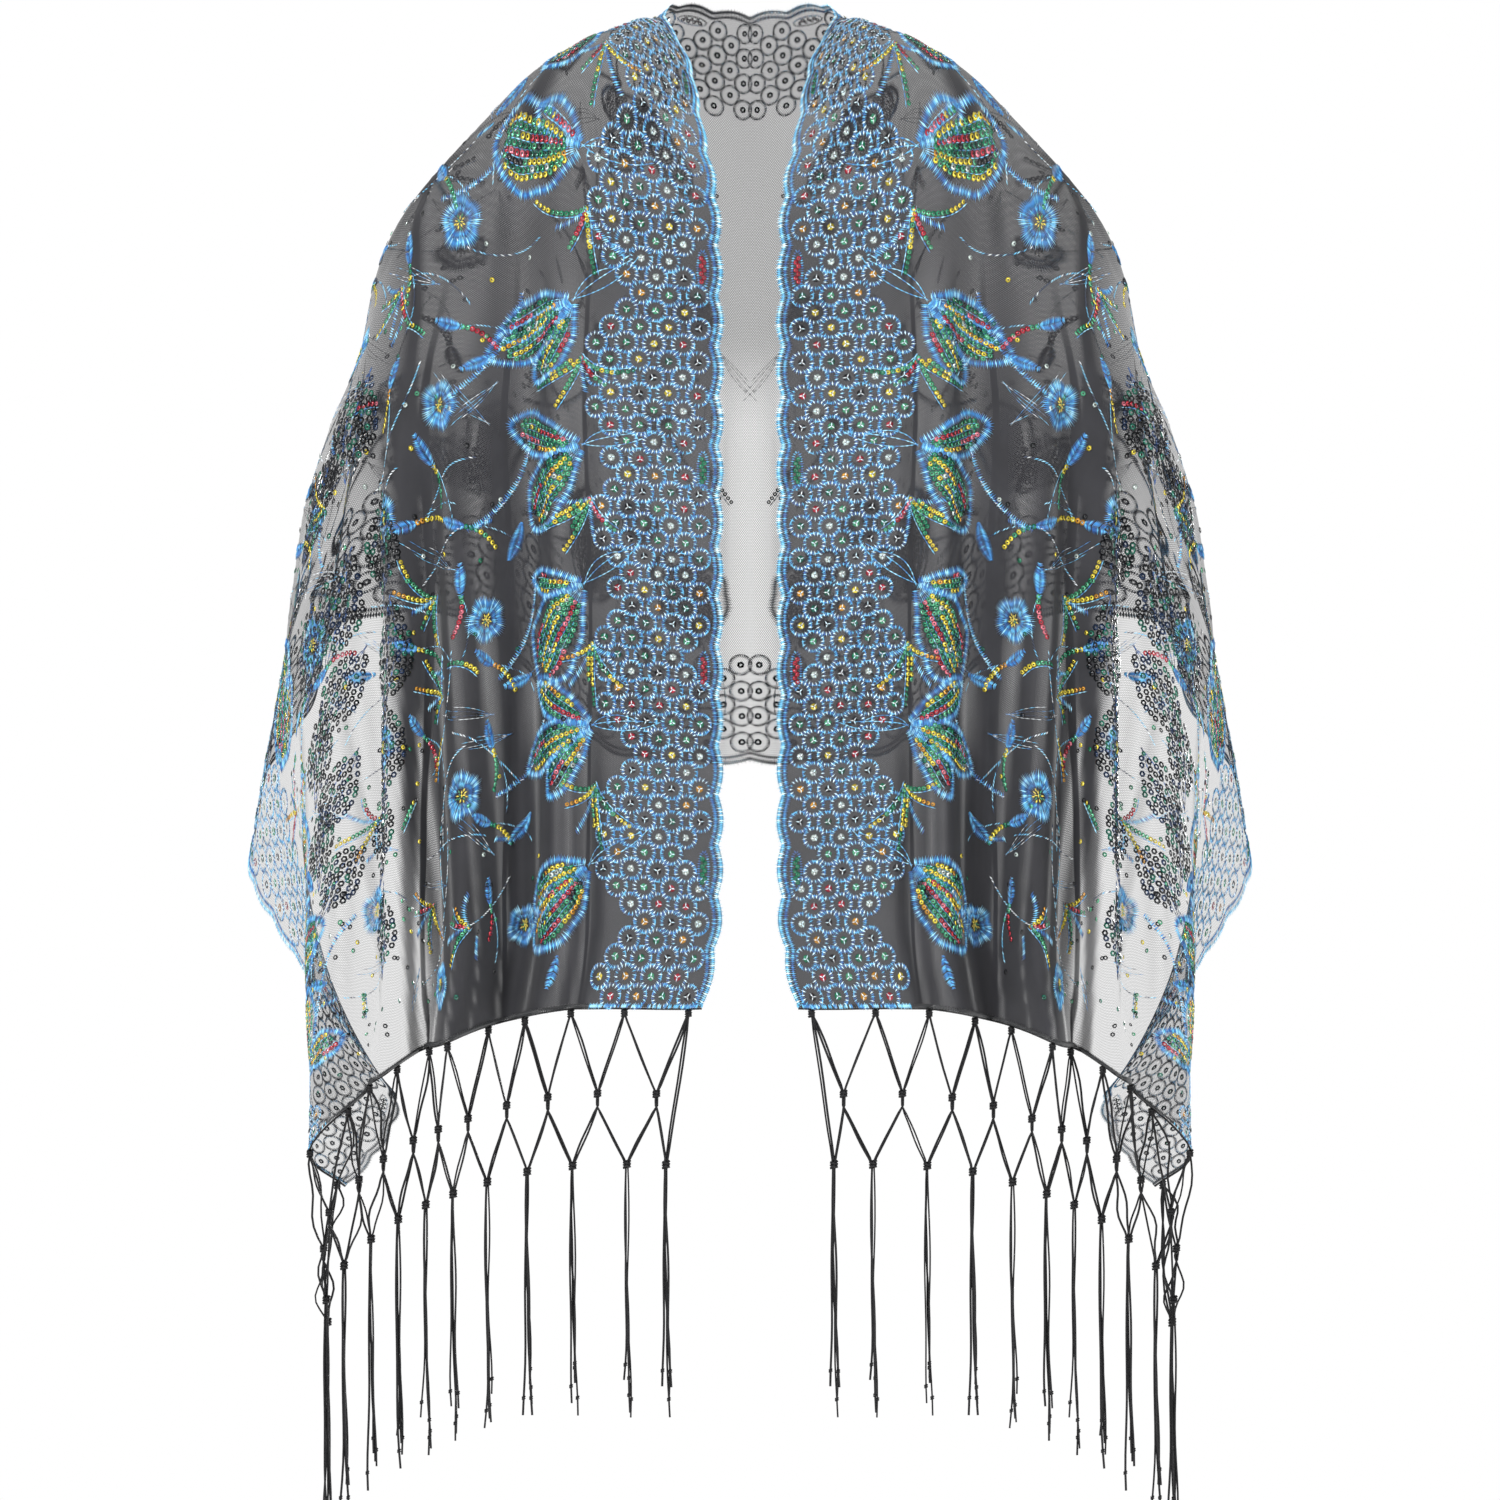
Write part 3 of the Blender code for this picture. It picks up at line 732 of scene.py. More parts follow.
# %% [markdown]
# ## Thread and sequin finishes
# Rayon thread has a soft shine along its length, so it gets a low roughness with a little
# sheen. Sequins are coated plastic with a metal backing: half metallic, smooth and clear-coated.

# %% Thread and sequin materials
THREAD_RELIEF = 0.0003


def tinted_material(name, constants, patch, grain_scale, grain_strength):
    made, tree, shader = new_material(name, constants)
    tint = add_node(tree, "ShaderNodeAttribute", [("attribute_name", "tint")])
    coords = add_node(tree, "ShaderNodeTexCoord")
    tone = use_group(tree, patchy_tone, [("Scale", 400.0), ("Amount", patch)])
    grain = use_group(tree, thread_grain, [("Scale", grain_scale)])
    bump = add_node(
        tree, "ShaderNodeBump", values=[("Strength", grain_strength), ("Distance", THREAD_RELIEF)])
    tree.links.new(coords.outputs["Object"], tone.inputs["Vector"])
    tree.links.new(coords.outputs["Object"], grain.inputs["Vector"])
    tree.links.new(tint.outputs["Color"], tone.inputs["Color"])
    tree.links.new(tone.outputs["Color"], shader.inputs["Base Color"])
    tree.links.new(grain.outputs["Height"], bump.inputs["Height"])
    tree.links.new(bump.outputs["Normal"], shader.inputs["Normal"])
    return made


rayon_thread = tinted_material(
    "rayon_thread", [("Roughness", 0.42), ("Sheen Weight", 0.2)], 0.35, 2500.0, 0.5
)
sequin_film = tinted_material(
    "sequin_film",
    [("Roughness", 0.18), ("Metallic", 0.45), ("Coat Weight", 0.6), ("Coat Roughness", 0.08)],
    0.15, 600.0, 0.15,
)

# %% [markdown]
# ## Drawing with the needle
# Each motif is drawn in its own small plane and turned into place. A needle line is a list of
# points; thread runs along it, or short stitches cross it, as a buttonhole edge does.

# %% Needle lines
work = {name: ([], []) for name in ("inner", "outer", "net", "blossoms", "side")}
STITCHES, SEQUINS = 0, 1
chance = np.random.default_rng(11)


def towards(angle):
    return np.array([math.cos(angle), math.sin(angle)])


def add_stitch(where, spot, turn, length, width, tint, lift=0.0004):
    row = (spot[0], spot[1], turn, length, width, TINT_NUMBER[tint], lift)
    work[where][STITCHES].append(row)


def add_sequin(where, spot, size, tint, lift=0.0006):
    turn = chance.uniform(0, math.pi)
    row = (spot[0], spot[1], turn, size / 2, size / 2, TINT_NUMBER[tint], lift)
    work[where][SEQUINS].append(row)


def moved(points, spot, turn, size=1.0):
    """Motif points turned, scaled and set on the cloth."""
    points = np.asarray(points, float) * size
    c, s = math.cos(turn), math.sin(turn)
    return points @ np.array([[c, s], [-s, c]]) + spot


def bent_line(length, bend, count=24):
    """A line that starts along the first axis and turns by the bend in all."""
    heading = np.linspace(0.0, bend, count)
    steps = np.stack([np.cos(heading), np.sin(heading)], axis=1) * length / (count - 1)
    return np.concatenate([[[0.0, 0.0]], np.cumsum(steps[:-1], axis=0)])


def spaced(line, step):
    """Points an even step apart on a line, with the heading at each."""
    line = np.asarray(line, float)
    reach = lengths_along(line)
    at = np.linspace(0.0, reach[-1], max(2, round(reach[-1] / step) + 1))
    spots = np.stack([np.interp(at, reach, line[:, k]) for k in range(2)], axis=1)
    run = np.gradient(spots, axis=0)
    return spots, np.arctan2(run[:, 1], run[:, 0])


def some(*names):
    return names[chance.integers(len(names))]


def running_thread(where, line, width=0.0009, tints=("pale", "light"), step=0.0036, lean=0.0):
    """Stitches end to end along a line; a lean makes them look like the turns of a cord."""
    spots, turns = spaced(line, step)
    for spot, turn in zip(spots, turns):
        add_stitch(where, spot, turn + lean, step * 1.5, width, some(*tints))


def crossing_stitches(where, line, step, length, tints, width=0.0008, lean=0.0, inward=0.0):
    spots, turns = spaced(line, step)
    for number, (spot, turn) in enumerate(zip(spots, turns)):
        across_turn = turn + math.pi / 2 + lean
        long = length * (1.0 if number % 2 else 0.78) * chance.uniform(0.9, 1.1)
        shift = towards(across_turn) * inward * length / 2
        add_stitch(where, spot + shift, across_turn, long, width, some(*tints))


# %% [markdown]
# ## The ring border
# The border is a lattice of stitched rings like scales, each round one sequin that is held by a
# three-legged stitch. Staggered rows let every ring touch six others. Its inner side swells and
# shrinks, and its free edge is scalloped and satin-stitched, with a pointed oval set behind
# every fourth scallop.

# %% Rings
RINGS_REACH = 0.066
RINGS_SWELL = 0.020
SWELL_PITCH = 0.108
SWELL_STARTS = 0.02
RING_PITCH_ACROSS = 0.0190
RING_PITCH_ALONG = 0.0113
RING_RADIUS = 0.0073
RING_STITCHES = 32
RING_FIRST = 0.0130
RING_CHAIN = 8
TICK_INSET = 0.0005
TICK_LENGTH = 0.0035
TICK_WIDTHS = (0.0011, 0.0012)
CHAIN_STITCH = (0.0066, 0.0013)
HOLDING_STITCH = (0.0032, 0.0009)
BORDER_SEQUIN = 0.0052
OVAL_ROOM = (0.015, 0.012)
SEQUIN_MIX = (
    "jet", "green", "gold", "clear", "emerald", "jet", "ruby", "leaf", "clear", "amber", "green",
)


def border_limit(along):
    """How far from the edge the rings reach, which swells and shrinks along the border."""
    swell = np.abs(np.sin(math.pi * (along - SWELL_STARTS) / SWELL_PITCH)) ** 0.7
    return RINGS_REACH + RINGS_SWELL * swell


def ring(where, spot):
    """Radial ticks with a chain of stitches round them, and a sequin held by three legs."""
    start = chance.uniform(0, math.pi)
    for k in range(RING_STITCHES):
        angle = start + 2 * math.pi * k / RING_STITCHES
        at = spot + (RING_RADIUS - TICK_INSET) * towards(angle)
        long = TICK_LENGTH * chance.uniform(0.85, 1.15)
        # every other tick is dark blue: blue thread, and also painted shade for the dark gaps
        # between the pale ticks
        tint = some("pale", "pale", "light", "sky") if k % 2 else some("navy", "royal", "mid")
        add_stitch(where, at, angle + 0.2, long, TICK_WIDTHS[k % 2], tint)
    for k in range(RING_CHAIN):
        angle = start + 2 * math.pi * (k + 0.5) / RING_CHAIN
        tint = some("mid", "royal", "sky", "navy")
        add_stitch(
            where, spot + RING_RADIUS * towards(angle), angle + math.pi / 2, *CHAIN_STITCH, tint)
    add_sequin(where, spot, BORDER_SEQUIN, some(*SEQUIN_MIX))
    for k in range(3):
        angle = start + 2 * math.pi * k / 3
        at = spot + 0.0013 * towards(angle)
        add_stitch(where, at, angle, *HOLDING_STITCH, some("silver", "pale"), 0.0012)


def both_sides(draw):
    """Draws the right half of a design, then its mirror image on the left half."""
    begun = {key: [len(rows) for rows in pair] for key, pair in work.items()}
    draw()
    for key, pair in work.items():
        for rows, first in zip(pair, begun[key]):
            for row in rows[first:]:
                rows.append((-row[0], row[1], math.pi - row[2], *row[3:]))


def edge_across(where, inset):
    """The place across the cloth that lies an inset away from the border's free edge."""
    return WIDTH - inset if where == "outer" else inset


def ring_border(where):
    """Staggered rows of rings, with room left in the outermost row for the pointed ovals."""
    rows = int(HALF_LENGTH / RING_PITCH_ALONG)
    for i in range(rows):
        along = (i + 0.5) * HALF_LENGTH / rows
        to_oval = abs((along / SCALLOP_PITCH + 0.5) % 4 - 2) * SCALLOP_PITCH
        for j in range(6):
            inset = RING_FIRST + (j + 0.5 * (i % 2)) * RING_PITCH_ACROSS
            if inset > border_limit(along) or (inset < OVAL_ROOM[0] and to_oval < OVAL_ROOM[1]):
                continue
            jitter = chance.uniform(-0.0006, 0.0006, 2)
            ring(where, np.array([along, edge_across(where, inset)]) + jitter)


both_sides(lambda: (ring_border("inner"), ring_border("outer")))
print("border stitches:", len(work["inner"][STITCHES]) + len(work["outer"][STITCHES]))


# %% Scalloped edges and the ovals behind them
EDGE_STEP = 0.00125
OVAL_LENGTH = 0.026
OVAL_WIDTH = 0.0068
OVAL_INSET = 0.0100
OVAL_SEQUINS = 7
OVAL_SEQUIN_STEP = 0.0026
HEM_STITCH = (0.0013, 0.0046)


def scalloped_edge(where):
    along = np.linspace(0.0, HALF_LENGTH, 400)
    for inset, length, tints in (
        (0.0014, 0.0056, ("light", "sky", "pale", "sky")),
        (0.0054, 0.0044, ("mid", "sky", "royal")),
    ):
        across = edge_across(where, inset - scallop(along))
        line = np.stack([along, across], axis=1)
        crossing_stitches(where, line, EDGE_STEP, length, tints, 0.0015, lean=0.12)


def edge_oval(where, along, tint):
    centre = np.array([along, edge_across(where, OVAL_INSET)])
    turn = np.linspace(0.0, 2 * math.pi, 40)
    line = np.stack([OVAL_LENGTH / 2 * np.cos(turn), OVAL_WIDTH / 2 * np.sin(turn)], axis=1)
    crossing_stitches(where, line + centre, 0.0017, 0.0030, ("mid", "royal", "sky"), 0.0013)
    for k in range(OVAL_SEQUINS):
        at = centre + ((k - OVAL_SEQUINS // 2) * OVAL_SEQUIN_STEP, 0.0009 * (-1) ** k)
        add_sequin(where, at, 0.0036, tint, 0.0007)


def hem_stitches():
    """Whipping that ties the hem to the fringe's cord, black on the net, blue on the borders."""
    blues = ("sky", "jet", "mid", "light")
    for where, start, end, tints in (
        ("inner", 0.0, BORDER_WIDTH, blues),
        ("net", BORDER_WIDTH, WIDTH - BORDER_WIDTH, ("jet",)),
        ("outer", WIDTH - BORDER_WIDTH, WIDTH, blues),
    ):
        across = np.linspace(start, end, 60)
        line = np.stack([np.full(60, HALF_LENGTH + 0.0004), across], axis=1)
        crossing_stitches(where, line, *HEM_STITCH, tints, 0.0019, lean=0.3)


def edges():
    hem_stitches()
    for where in ("inner", "outer"):
        scalloped_edge(where)
        for number in range(1, SCALLOPS, 4):
            tint = "ruby" if number % 8 == 1 else "emerald"
            edge_oval(where, (number + 0.5) * SCALLOP_PITCH, tint)


both_sides(edges)
print("edge stitches:", len(work["inner"][STITCHES]) + len(work["outer"][STITCHES]))

# %% [markdown]
# ## Blossoms, flowers, leaves and stems
# The blossoms are fans with a deep buttonhole edge, filled with rows of sequins. Round flowers
# have radial stitches round a gold and green middle. Leaf sprays are narrow rows of sequins, and
# fine corded stems tie them together. Drawn stitch by stitch, each catches the light as thread
# does, which a flat picture could not. The kinds, colours and sizes are those of the real
# shawl, in a layout of its own.

# %% Blossom
BLOSSOM_SCALE = 1.15
RIM_STEP = 0.0012
RIM_STITCH = 0.0080
ROW_STEP = 0.0044
FILL_STEP = 0.0038
ROW_TINTS = (
    ("gold", "gold", "amber"), ("emerald", "leaf", "green"), ("emerald", "green", "jet"),
    ("ruby", "ruby", "rose"), ("green", "emerald", "leaf"), ("gold", "green", "gold"),
    ("green", "clear", "emerald"),
)
PETALS = (
    # for each kind of blossom: turn, size and half width of its petals
    ((-0.56, 0.84, 0.19), (0.56, 0.86, 0.19), (0.0, 1.0, 0.20)),
    ((-0.34, 1.0, 0.25), (0.40, 0.84, 0.23)),
    ((0.66, 0.62, 0.19), (-0.10, 1.0, 0.33)),
)


def petal_half_width(share, half):
    """Half the width of a petal along its length: pointed at its foot, round and lobed far out."""
    swell = np.abs(np.sin(math.pi * np.clip(share, 0.0, 1.0) ** 1.5)) ** 0.65
    return half * swell * (1.0 + 0.06 * np.cos(17.0 * np.asarray(share)))


def petal(spot, turn, size, half, number):
    """A fan-shaped petal: a rim of long stitches round rows of sequins and running threads."""
    bend = 0.22 if number % 2 else -0.18

    def laid(points):
        points = np.array(points, float)
        points[:, 1] += bend * points[:, 0] ** 2
        return moved(points, spot, turn, size)

    share = np.sin(np.linspace(0.06, 0.5 * math.pi, 30))
    wide = petal_half_width(share, half)
    rim = np.concatenate([np.stack([share, wide], axis=1), np.stack([share, -wide], axis=1)[::-1]])
    crossing_stitches("blossoms", laid(rim), RIM_STEP, RIM_STITCH,
                      ("mid", "royal", "sky", "mid", "light"), 0.0014)
    rows = max(3, round(1.24 * half * size / ROW_STEP) + 1)
    levels = np.linspace(-0.60, 0.60, rows)
    for j, level in enumerate(levels):
        for share in np.arange(0.20 + 0.03 * (j % 2), 0.86, FILL_STEP / size):
            wide = petal_half_width(share, half)
            if abs(level) > 0.1 and wide * size < 0.0036 + 0.008 * abs(level):
                continue
            tints = ROW_TINTS[(j + number + 2 * int(share > 0.58)) % len(ROW_TINTS)]
            add_sequin("blossoms", laid([(share, level * wide)])[0], 0.0041, some(*tints), 0.0007)
    for level in (levels[1:] + levels[:-1]) / 2:
        line = [(s, level * petal_half_width(s, half)) for s in np.linspace(0.12, 0.82, 14)]
        running_thread("blossoms", laid(line), 0.0008, ("sky", "mid", "light"), 0.0040)


def blossom(spot, turn, size, number):
    size *= BLOSSOM_SCALE
    for k, (swing, share, half) in enumerate(PETALS[number % len(PETALS)]):
        petal(spot, turn + swing, size * share, half, number + 3 * k)
    for k in range(3):
        tail = bent_line(size * (0.5 + 0.1 * k), 1.2 - k)
        line = moved(tail, spot, turn + math.pi + 0.5 * (k - 1))
        running_thread("net", line, 0.0010, ("light", "mid", "sky"))


# %% Round flower, pointed oval and tipped leaf
SMALL_STEP = 0.0011
FLOWER_MIDDLE = 14
OVAL_SHARE = 0.34
LEAF_TINTS = (
    # foot, tip and what is mixed in at the foot
    ("ruby", "green", "rose"), ("gold", "amber", "gold"),
    ("green", "gold", "emerald"), ("gold", "emerald", "green"),
)


def flower(spot, turn, size):
    """Two rings of radial stitches in five lobes round a middle of gold and green ones."""
    for ring_share, long_share, tints in (
        (0.68, 0.56, ("sky", "mid", "light", "mid")), (0.42, 0.36, ("royal", "mid", "sky")),
    ):
        count = int(2 * math.pi * ring_share * size / SMALL_STEP)
        for k in range(count):
            angle = turn + 2 * math.pi * k / count
            lobe = 0.80 + 0.20 * abs(math.cos(2.5 * (angle - turn))) ** 0.7
            at = np.array(spot) + ring_share * size * lobe * towards(angle)
            long = long_share * size * lobe * chance.uniform(0.85, 1.1)
            add_stitch("net", at, angle, long, 0.0012, some(*tints))
    for k in range(FLOWER_MIDDLE):
        angle = 2.4 * k
        at = np.array(spot) + 0.22 * size * math.sqrt(k / FLOWER_MIDDLE) * towards(angle)
        add_stitch("net", at, angle, 0.0032, 0.0013, some("gold", "emerald", "gold"), 0.0009)


def filled_oval(spot, turn, size):
    """A pointed oval of slanting stitches that meet along its midrib."""
    line = bent_line(size, 0.3)
    for share in np.linspace(0.04, 0.96, int(size / SMALL_STEP)):
        at = line[int(share * (len(line) - 1))]
        wide = size * OVAL_SHARE * math.sin(math.pi * share) ** 0.8
        for side in (-1, 1):
            centre = moved([at + (0.0, side * wide / 4)], spot, turn)[0]
            lean = turn + side * 1.15
            tint = some("mid", "royal", "mid", "sky")
            add_stitch("net", centre, lean, wide / 2 + 0.0026, 0.0014, tint)


def tipped_leaf(spot, turn, size, number):
    """A small leaf of blue thread on a tail of sequins, with a fine stem beside it."""
    filled_oval(spot, turn, 0.55 * size)
    tail, _ = spaced(moved(bent_line(0.65 * size, 0.8), spot, turn + math.pi), 0.0036)
    foot, tip, mixed = LEAF_TINTS[number % len(LEAF_TINTS)]
    for k, at in enumerate(tail):
        add_sequin("net", at, 0.0040, tip if k < 2 else some(foot, foot, mixed))
    beside = moved(bent_line(1.1 * size, 0.9), spot, turn + math.pi - 0.3)
    running_thread("net", beside, 0.0009, ("light", "navy", "sky"), 0.0025, lean=0.38)


# %% Leaves, sprays and stems
DOUBLE_ROW_FROM = 0.040


def sequin_leaf(spot, turn, size, bend, tints):
    """A bent row of sequins with its own tip colour; a large leaf has a second row beside it."""
    foot, tip, mixed = tints
    line = moved(bent_line(size, bend), spot, turn)
    spots, turns = spaced(line, 0.0034)
    for number, at in enumerate(spots):
        share = number / (len(spots) - 1)
        tint = tip if share > 0.70 else some(foot, foot, mixed)
        belly = math.sin(math.pi * min(1.0, 0.12 + share)) ** 0.7
        add_sequin("net", at, 0.0031 + 0.0008 * belly, tint)
        if belly > 0.8 and size > DOUBLE_ROW_FROM:
            beside = at + 0.0036 * towards(turns[number] + math.pi / 2)
            add_sequin("net", beside, 0.0036, some(foot, mixed))
    offset = np.stack([-np.sin(turns), np.cos(turns)], axis=1) * 0.0024
    running_thread("net", spots - offset, 0.0010, ("light", "sky", "mid"))


def thread_leaf(spot, turn, size, bend):
    line = moved(bent_line(size, bend), spot, turn)
    crossing_stitches(
        "net", line, 0.0016, 0.0062, ("sky", "light", "royal", "mid"), 0.0013, lean=0.5)


def spray(spot, turn, size, number):
    """Five leaves that fan out from one foot, of sequins but for one or two of thread."""
    for k in range(5):
        heading = turn + (k - 2) * 0.40
        long = size * (0.62, 0.88, 1.0, 0.9, 0.6)[(k + number) % 5]
        bend = (k - 2) * 0.45 + 0.25 * (-1) ** number
        if (k + number) % 3 == 2:
            thread_leaf(spot, heading, long * 0.9, bend)
        else:
            sequin_leaf(spot, heading, long, bend, LEAF_TINTS[(k + number) % len(LEAF_TINTS)])


def stem(spot, turn, size, bend, ladder=False):
    line = moved(bent_line(size, bend, 40), spot, turn)
    running_thread("net", line, 0.0010, ("light", "navy", "sky", "silver"), 0.0025, lean=0.38)
    if ladder:
        crossing_stitches(
            "net", line, 0.0017, 0.0056, ("light", "mid", "sky", "royal"), 0.0013, inward=0.3)


def whiskers(spot, turn, size):
    """Four hair-fine lines that spread from one foot."""
    for k, share in enumerate((0.9, 1.15, 1.0, 0.7)):
        line = moved(bent_line(size * share, 0.5 - 0.2 * k), spot, turn + 0.17 * (k - 1.5))
        running_thread("net", line, 0.0005, ("sky", "silver", "mid", "navy"), 0.0045)


# %% Where the motifs go, on the right half
# Each row is along, across, turn in degrees and size in metres.
BLOSSOMS = (
    (0.075, 0.088, 75, 0.060), (0.170, 0.094, 55, 0.064), (0.262, 0.090, 85, 0.061),
    (0.352, 0.096, 50, 0.065), (0.452, 0.090, 72, 0.063), (0.548, 0.096, 48, 0.066),
    (0.646, 0.090, 80, 0.061), (0.742, 0.094, 55, 0.064),
    (0.030, 0.468, -80, 0.061), (0.125, 0.462, -105, 0.064), (0.215, 0.468, -70, 0.061),
    (0.310, 0.462, -100, 0.065), (0.405, 0.468, -75, 0.063), (0.500, 0.462, -110, 0.064),
    (0.595, 0.466, -72, 0.063), (0.690, 0.462, -95, 0.061), (0.775, 0.458, -115, 0.053),
)
FLOWERS = (
    (0.040, 0.225, 20, 0.018), (0.115, 0.285, 50, 0.019), (0.185, 0.215, 10, 0.019),
    (0.235, 0.300, 70, 0.017), (0.300, 0.185, 35, 0.020), (0.345, 0.290, 0, 0.018),
    (0.415, 0.200, 60, 0.019), (0.470, 0.262, 25, 0.017), (0.505, 0.355, 45, 0.020),
    (0.560, 0.185, 15, 0.019), (0.615, 0.300, 80, 0.018), (0.675, 0.215, 30, 0.020),
    (0.715, 0.345, 55, 0.019), (0.775, 0.165, 5, 0.017), (0.795, 0.265, 65, 0.018),
    (0.075, 0.385, 40, 0.019), (0.265, 0.395, 15, 0.018), (0.380, 0.392, 75, 0.019),
)
SPRAYS = (
    (0.105, 0.092, 25, 0.038), (0.205, 0.090, 5, 0.042), (0.296, 0.088, 20, 0.044),
    (0.392, 0.090, 0, 0.042), (0.490, 0.088, 25, 0.046), (0.590, 0.090, 5, 0.042),
    (0.688, 0.088, 20, 0.044), (0.085, 0.455, 200, 0.038), (0.175, 0.452, 160, 0.040),
    (0.262, 0.455, 195, 0.038), (0.360, 0.450, 165, 0.042), (0.455, 0.452, 200, 0.040),
    (0.550, 0.450, 160, 0.040), (0.645, 0.450, 195, 0.038), (0.140, 0.185, 95, 0.036),
    (0.255, 0.235, 120, 0.038), (0.330, 0.240, 40, 0.034), (0.440, 0.315, 100, 0.038),
    (0.530, 0.235, 70, 0.036), (0.600, 0.235, 125, 0.034), (0.655, 0.330, 80, 0.036),
    (0.735, 0.270, 60, 0.034), (0.765, 0.220, 110, 0.030), (0.056, 0.305, 50, 0.034),
    (0.185, 0.345, 75, 0.038), (0.320, 0.350, 110, 0.036), (0.570, 0.395, 85, 0.034),
)
OVALS = (
    (0.220, 0.165, 30, 0.026), (0.385, 0.160, 60, 0.024), (0.500, 0.150, 20, 0.027),
    (0.605, 0.150, 75, 0.024), (0.700, 0.155, 40, 0.026), (0.800, 0.120, 15, 0.020),
    (0.290, 0.262, 100, 0.024), (0.400, 0.345, 140, 0.025), (0.555, 0.310, 100, 0.024),
    (0.665, 0.398, 150, 0.025), (0.150, 0.400, 110, 0.024), (0.050, 0.155, 60, 0.024),
    (0.740, 0.400, 120, 0.022), (0.480, 0.405, 60, 0.024),
)
TIPPED_LEAVES = (
    (0.150, 0.250, 150, 0.040), (0.205, 0.200, 200, 0.044), (0.270, 0.205, 120, 0.042),
    (0.318, 0.232, 170, 0.040), (0.365, 0.182, 100, 0.044), (0.398, 0.240, 190, 0.040),
    (0.450, 0.215, 150, 0.042), (0.495, 0.190, 110, 0.040), (0.540, 0.202, 180, 0.042),
    (0.592, 0.180, 120, 0.040), (0.650, 0.185, 160, 0.042), (0.700, 0.190, 110, 0.038),
    (0.755, 0.195, 170, 0.036), (0.120, 0.230, 60, 0.040), (0.090, 0.170, 120, 0.038),
    (0.430, 0.355, 120, 0.042), (0.530, 0.345, 80, 0.040), (0.240, 0.365, 100, 0.042),
    (0.160, 0.295, 30, 0.040), (0.350, 0.365, 60, 0.040), (0.620, 0.260, 140, 0.038),
    (0.480, 0.235, 80, 0.038), (0.560, 0.255, 110, 0.040), (0.300, 0.285, 130, 0.040),
)
STEMS = (
    # and the bend in radians, and 1 where short stitches cross the stem like a ladder
    (0.110, 0.130, 60, 0.085, 0.9, 1), (0.205, 0.135, 40, 0.080, -0.8, 0),
    (0.250, 0.140, 30, 0.075, 1.1, 1), (0.345, 0.142, 10, 0.085, 0.9, 1),
    (0.385, 0.215, 20, 0.090, 0.8, 0), (0.445, 0.135, 15, 0.080, 1.1, 1),
    (0.540, 0.140, 5, 0.075, 0.9, 1), (0.575, 0.215, 10, 0.085, 0.7, 0),
    (0.640, 0.132, 20, 0.070, 1.1, 1), (0.690, 0.235, 0, 0.080, 0.8, 0),
    (0.060, 0.260, 60, 0.090, 0.8, 0), (0.130, 0.310, 70, 0.100, -0.7, 1),
    (0.250, 0.330, 60, 0.095, 0.8, 0), (0.345, 0.310, 85, 0.095, -0.8, 1),
    (0.430, 0.285, 75, 0.100, 0.9, 0), (0.520, 0.370, 60, 0.085, -0.9, 1),
    (0.620, 0.320, 80, 0.095, 0.8, 0), (0.710, 0.365, 70, 0.070, -0.7, 1),
    (0.038, 0.400, 70, 0.060, 0.8, 0), (0.740, 0.175, 40, 0.060, 0.9, 0),
)
WHISKERS = (
    (0.150, 0.150, 100, 0.045), (0.240, 0.185, 140, 0.042), (0.335, 0.205, 110, 0.046),
    (0.430, 0.165, 130, 0.044), (0.520, 0.205, 120, 0.046), (0.625, 0.185, 100, 0.044),
    (0.720, 0.190, 130, 0.040), (0.095, 0.330, 90, 0.045), (0.215, 0.260, 100, 0.048),
    (0.300, 0.325, 120, 0.046), (0.385, 0.260, 95, 0.050), (0.485, 0.310, 110, 0.046),
    (0.585, 0.350, 90, 0.048), (0.690, 0.300, 120, 0.044), (0.760, 0.330, 100, 0.040),
)
CLUSTERS = (
    (0.375, 0.262, 25, 0.046), (0.415, 0.300, 60, 0.044), (0.450, 0.262, 15, 0.050),
    (0.475, 0.300, 40, 0.050), (0.520, 0.268, 20, 0.054), (0.535, 0.312, 55, 0.046),
    (0.580, 0.292, 10, 0.052), (0.600, 0.335, 50, 0.044), (0.640, 0.300, 30, 0.048),
    (0.665, 0.345, 60, 0.040), (0.705, 0.322, 15, 0.044), (0.350, 0.335, 70, 0.044),
    (0.480, 0.345, 30, 0.044), (0.550, 0.360, 20, 0.044), (0.615, 0.375, 15, 0.040),
)

# %% Dark clusters, and all the motifs in their places
CLUSTER_SCALE = 1.3
CLUSTER_STEP = 0.0044


def dark_cluster(spot, turn, size):
    """A teardrop of loose sequins, dark side out, between dark threads."""
    size *= CLUSTER_SCALE
    for share in np.arange(0.08, 1.0, CLUSTER_STEP / size):
        wide = 0.30 * math.sin(math.pi * share ** 1.3) ** 0.8
        rows = max(1, round(2 * wide * size / CLUSTER_STEP))
        for y in np.linspace(-wide, wide, rows):
            at = moved([(share, y)], spot, turn, size)[0] + chance.uniform(-0.0008, 0.0008, 2)
            add_sequin("side", at, 0.0048, some("jet", "jet", "jet", "navy", "leaf"))
    for bend in (-0.5, 0.1, 0.7):
        line = moved(bent_line(size * 1.15, bend), spot, turn - bend / 2)
        running_thread("side", line, 0.0011, ("jet", "navy", "royal"))


def sewn(draw, places, numbered=False):
    """Draws one motif at each of its places; a numbered one varies with its number."""
    for number, (along, across, turn, *rest) in enumerate(places):
        given = [*rest, number] if numbered else rest
        draw((along, across), math.radians(turn), *given)


def motifs():
    sewn(blossom, BLOSSOMS, numbered=True)
    sewn(flower, FLOWERS)
    sewn(spray, SPRAYS, numbered=True)
    sewn(filled_oval, OVALS)
    sewn(tipped_leaf, TIPPED_LEAVES, numbered=True)
    sewn(stem, STEMS)
    sewn(whiskers, WHISKERS)
    sewn(dark_cluster, CLUSTERS)


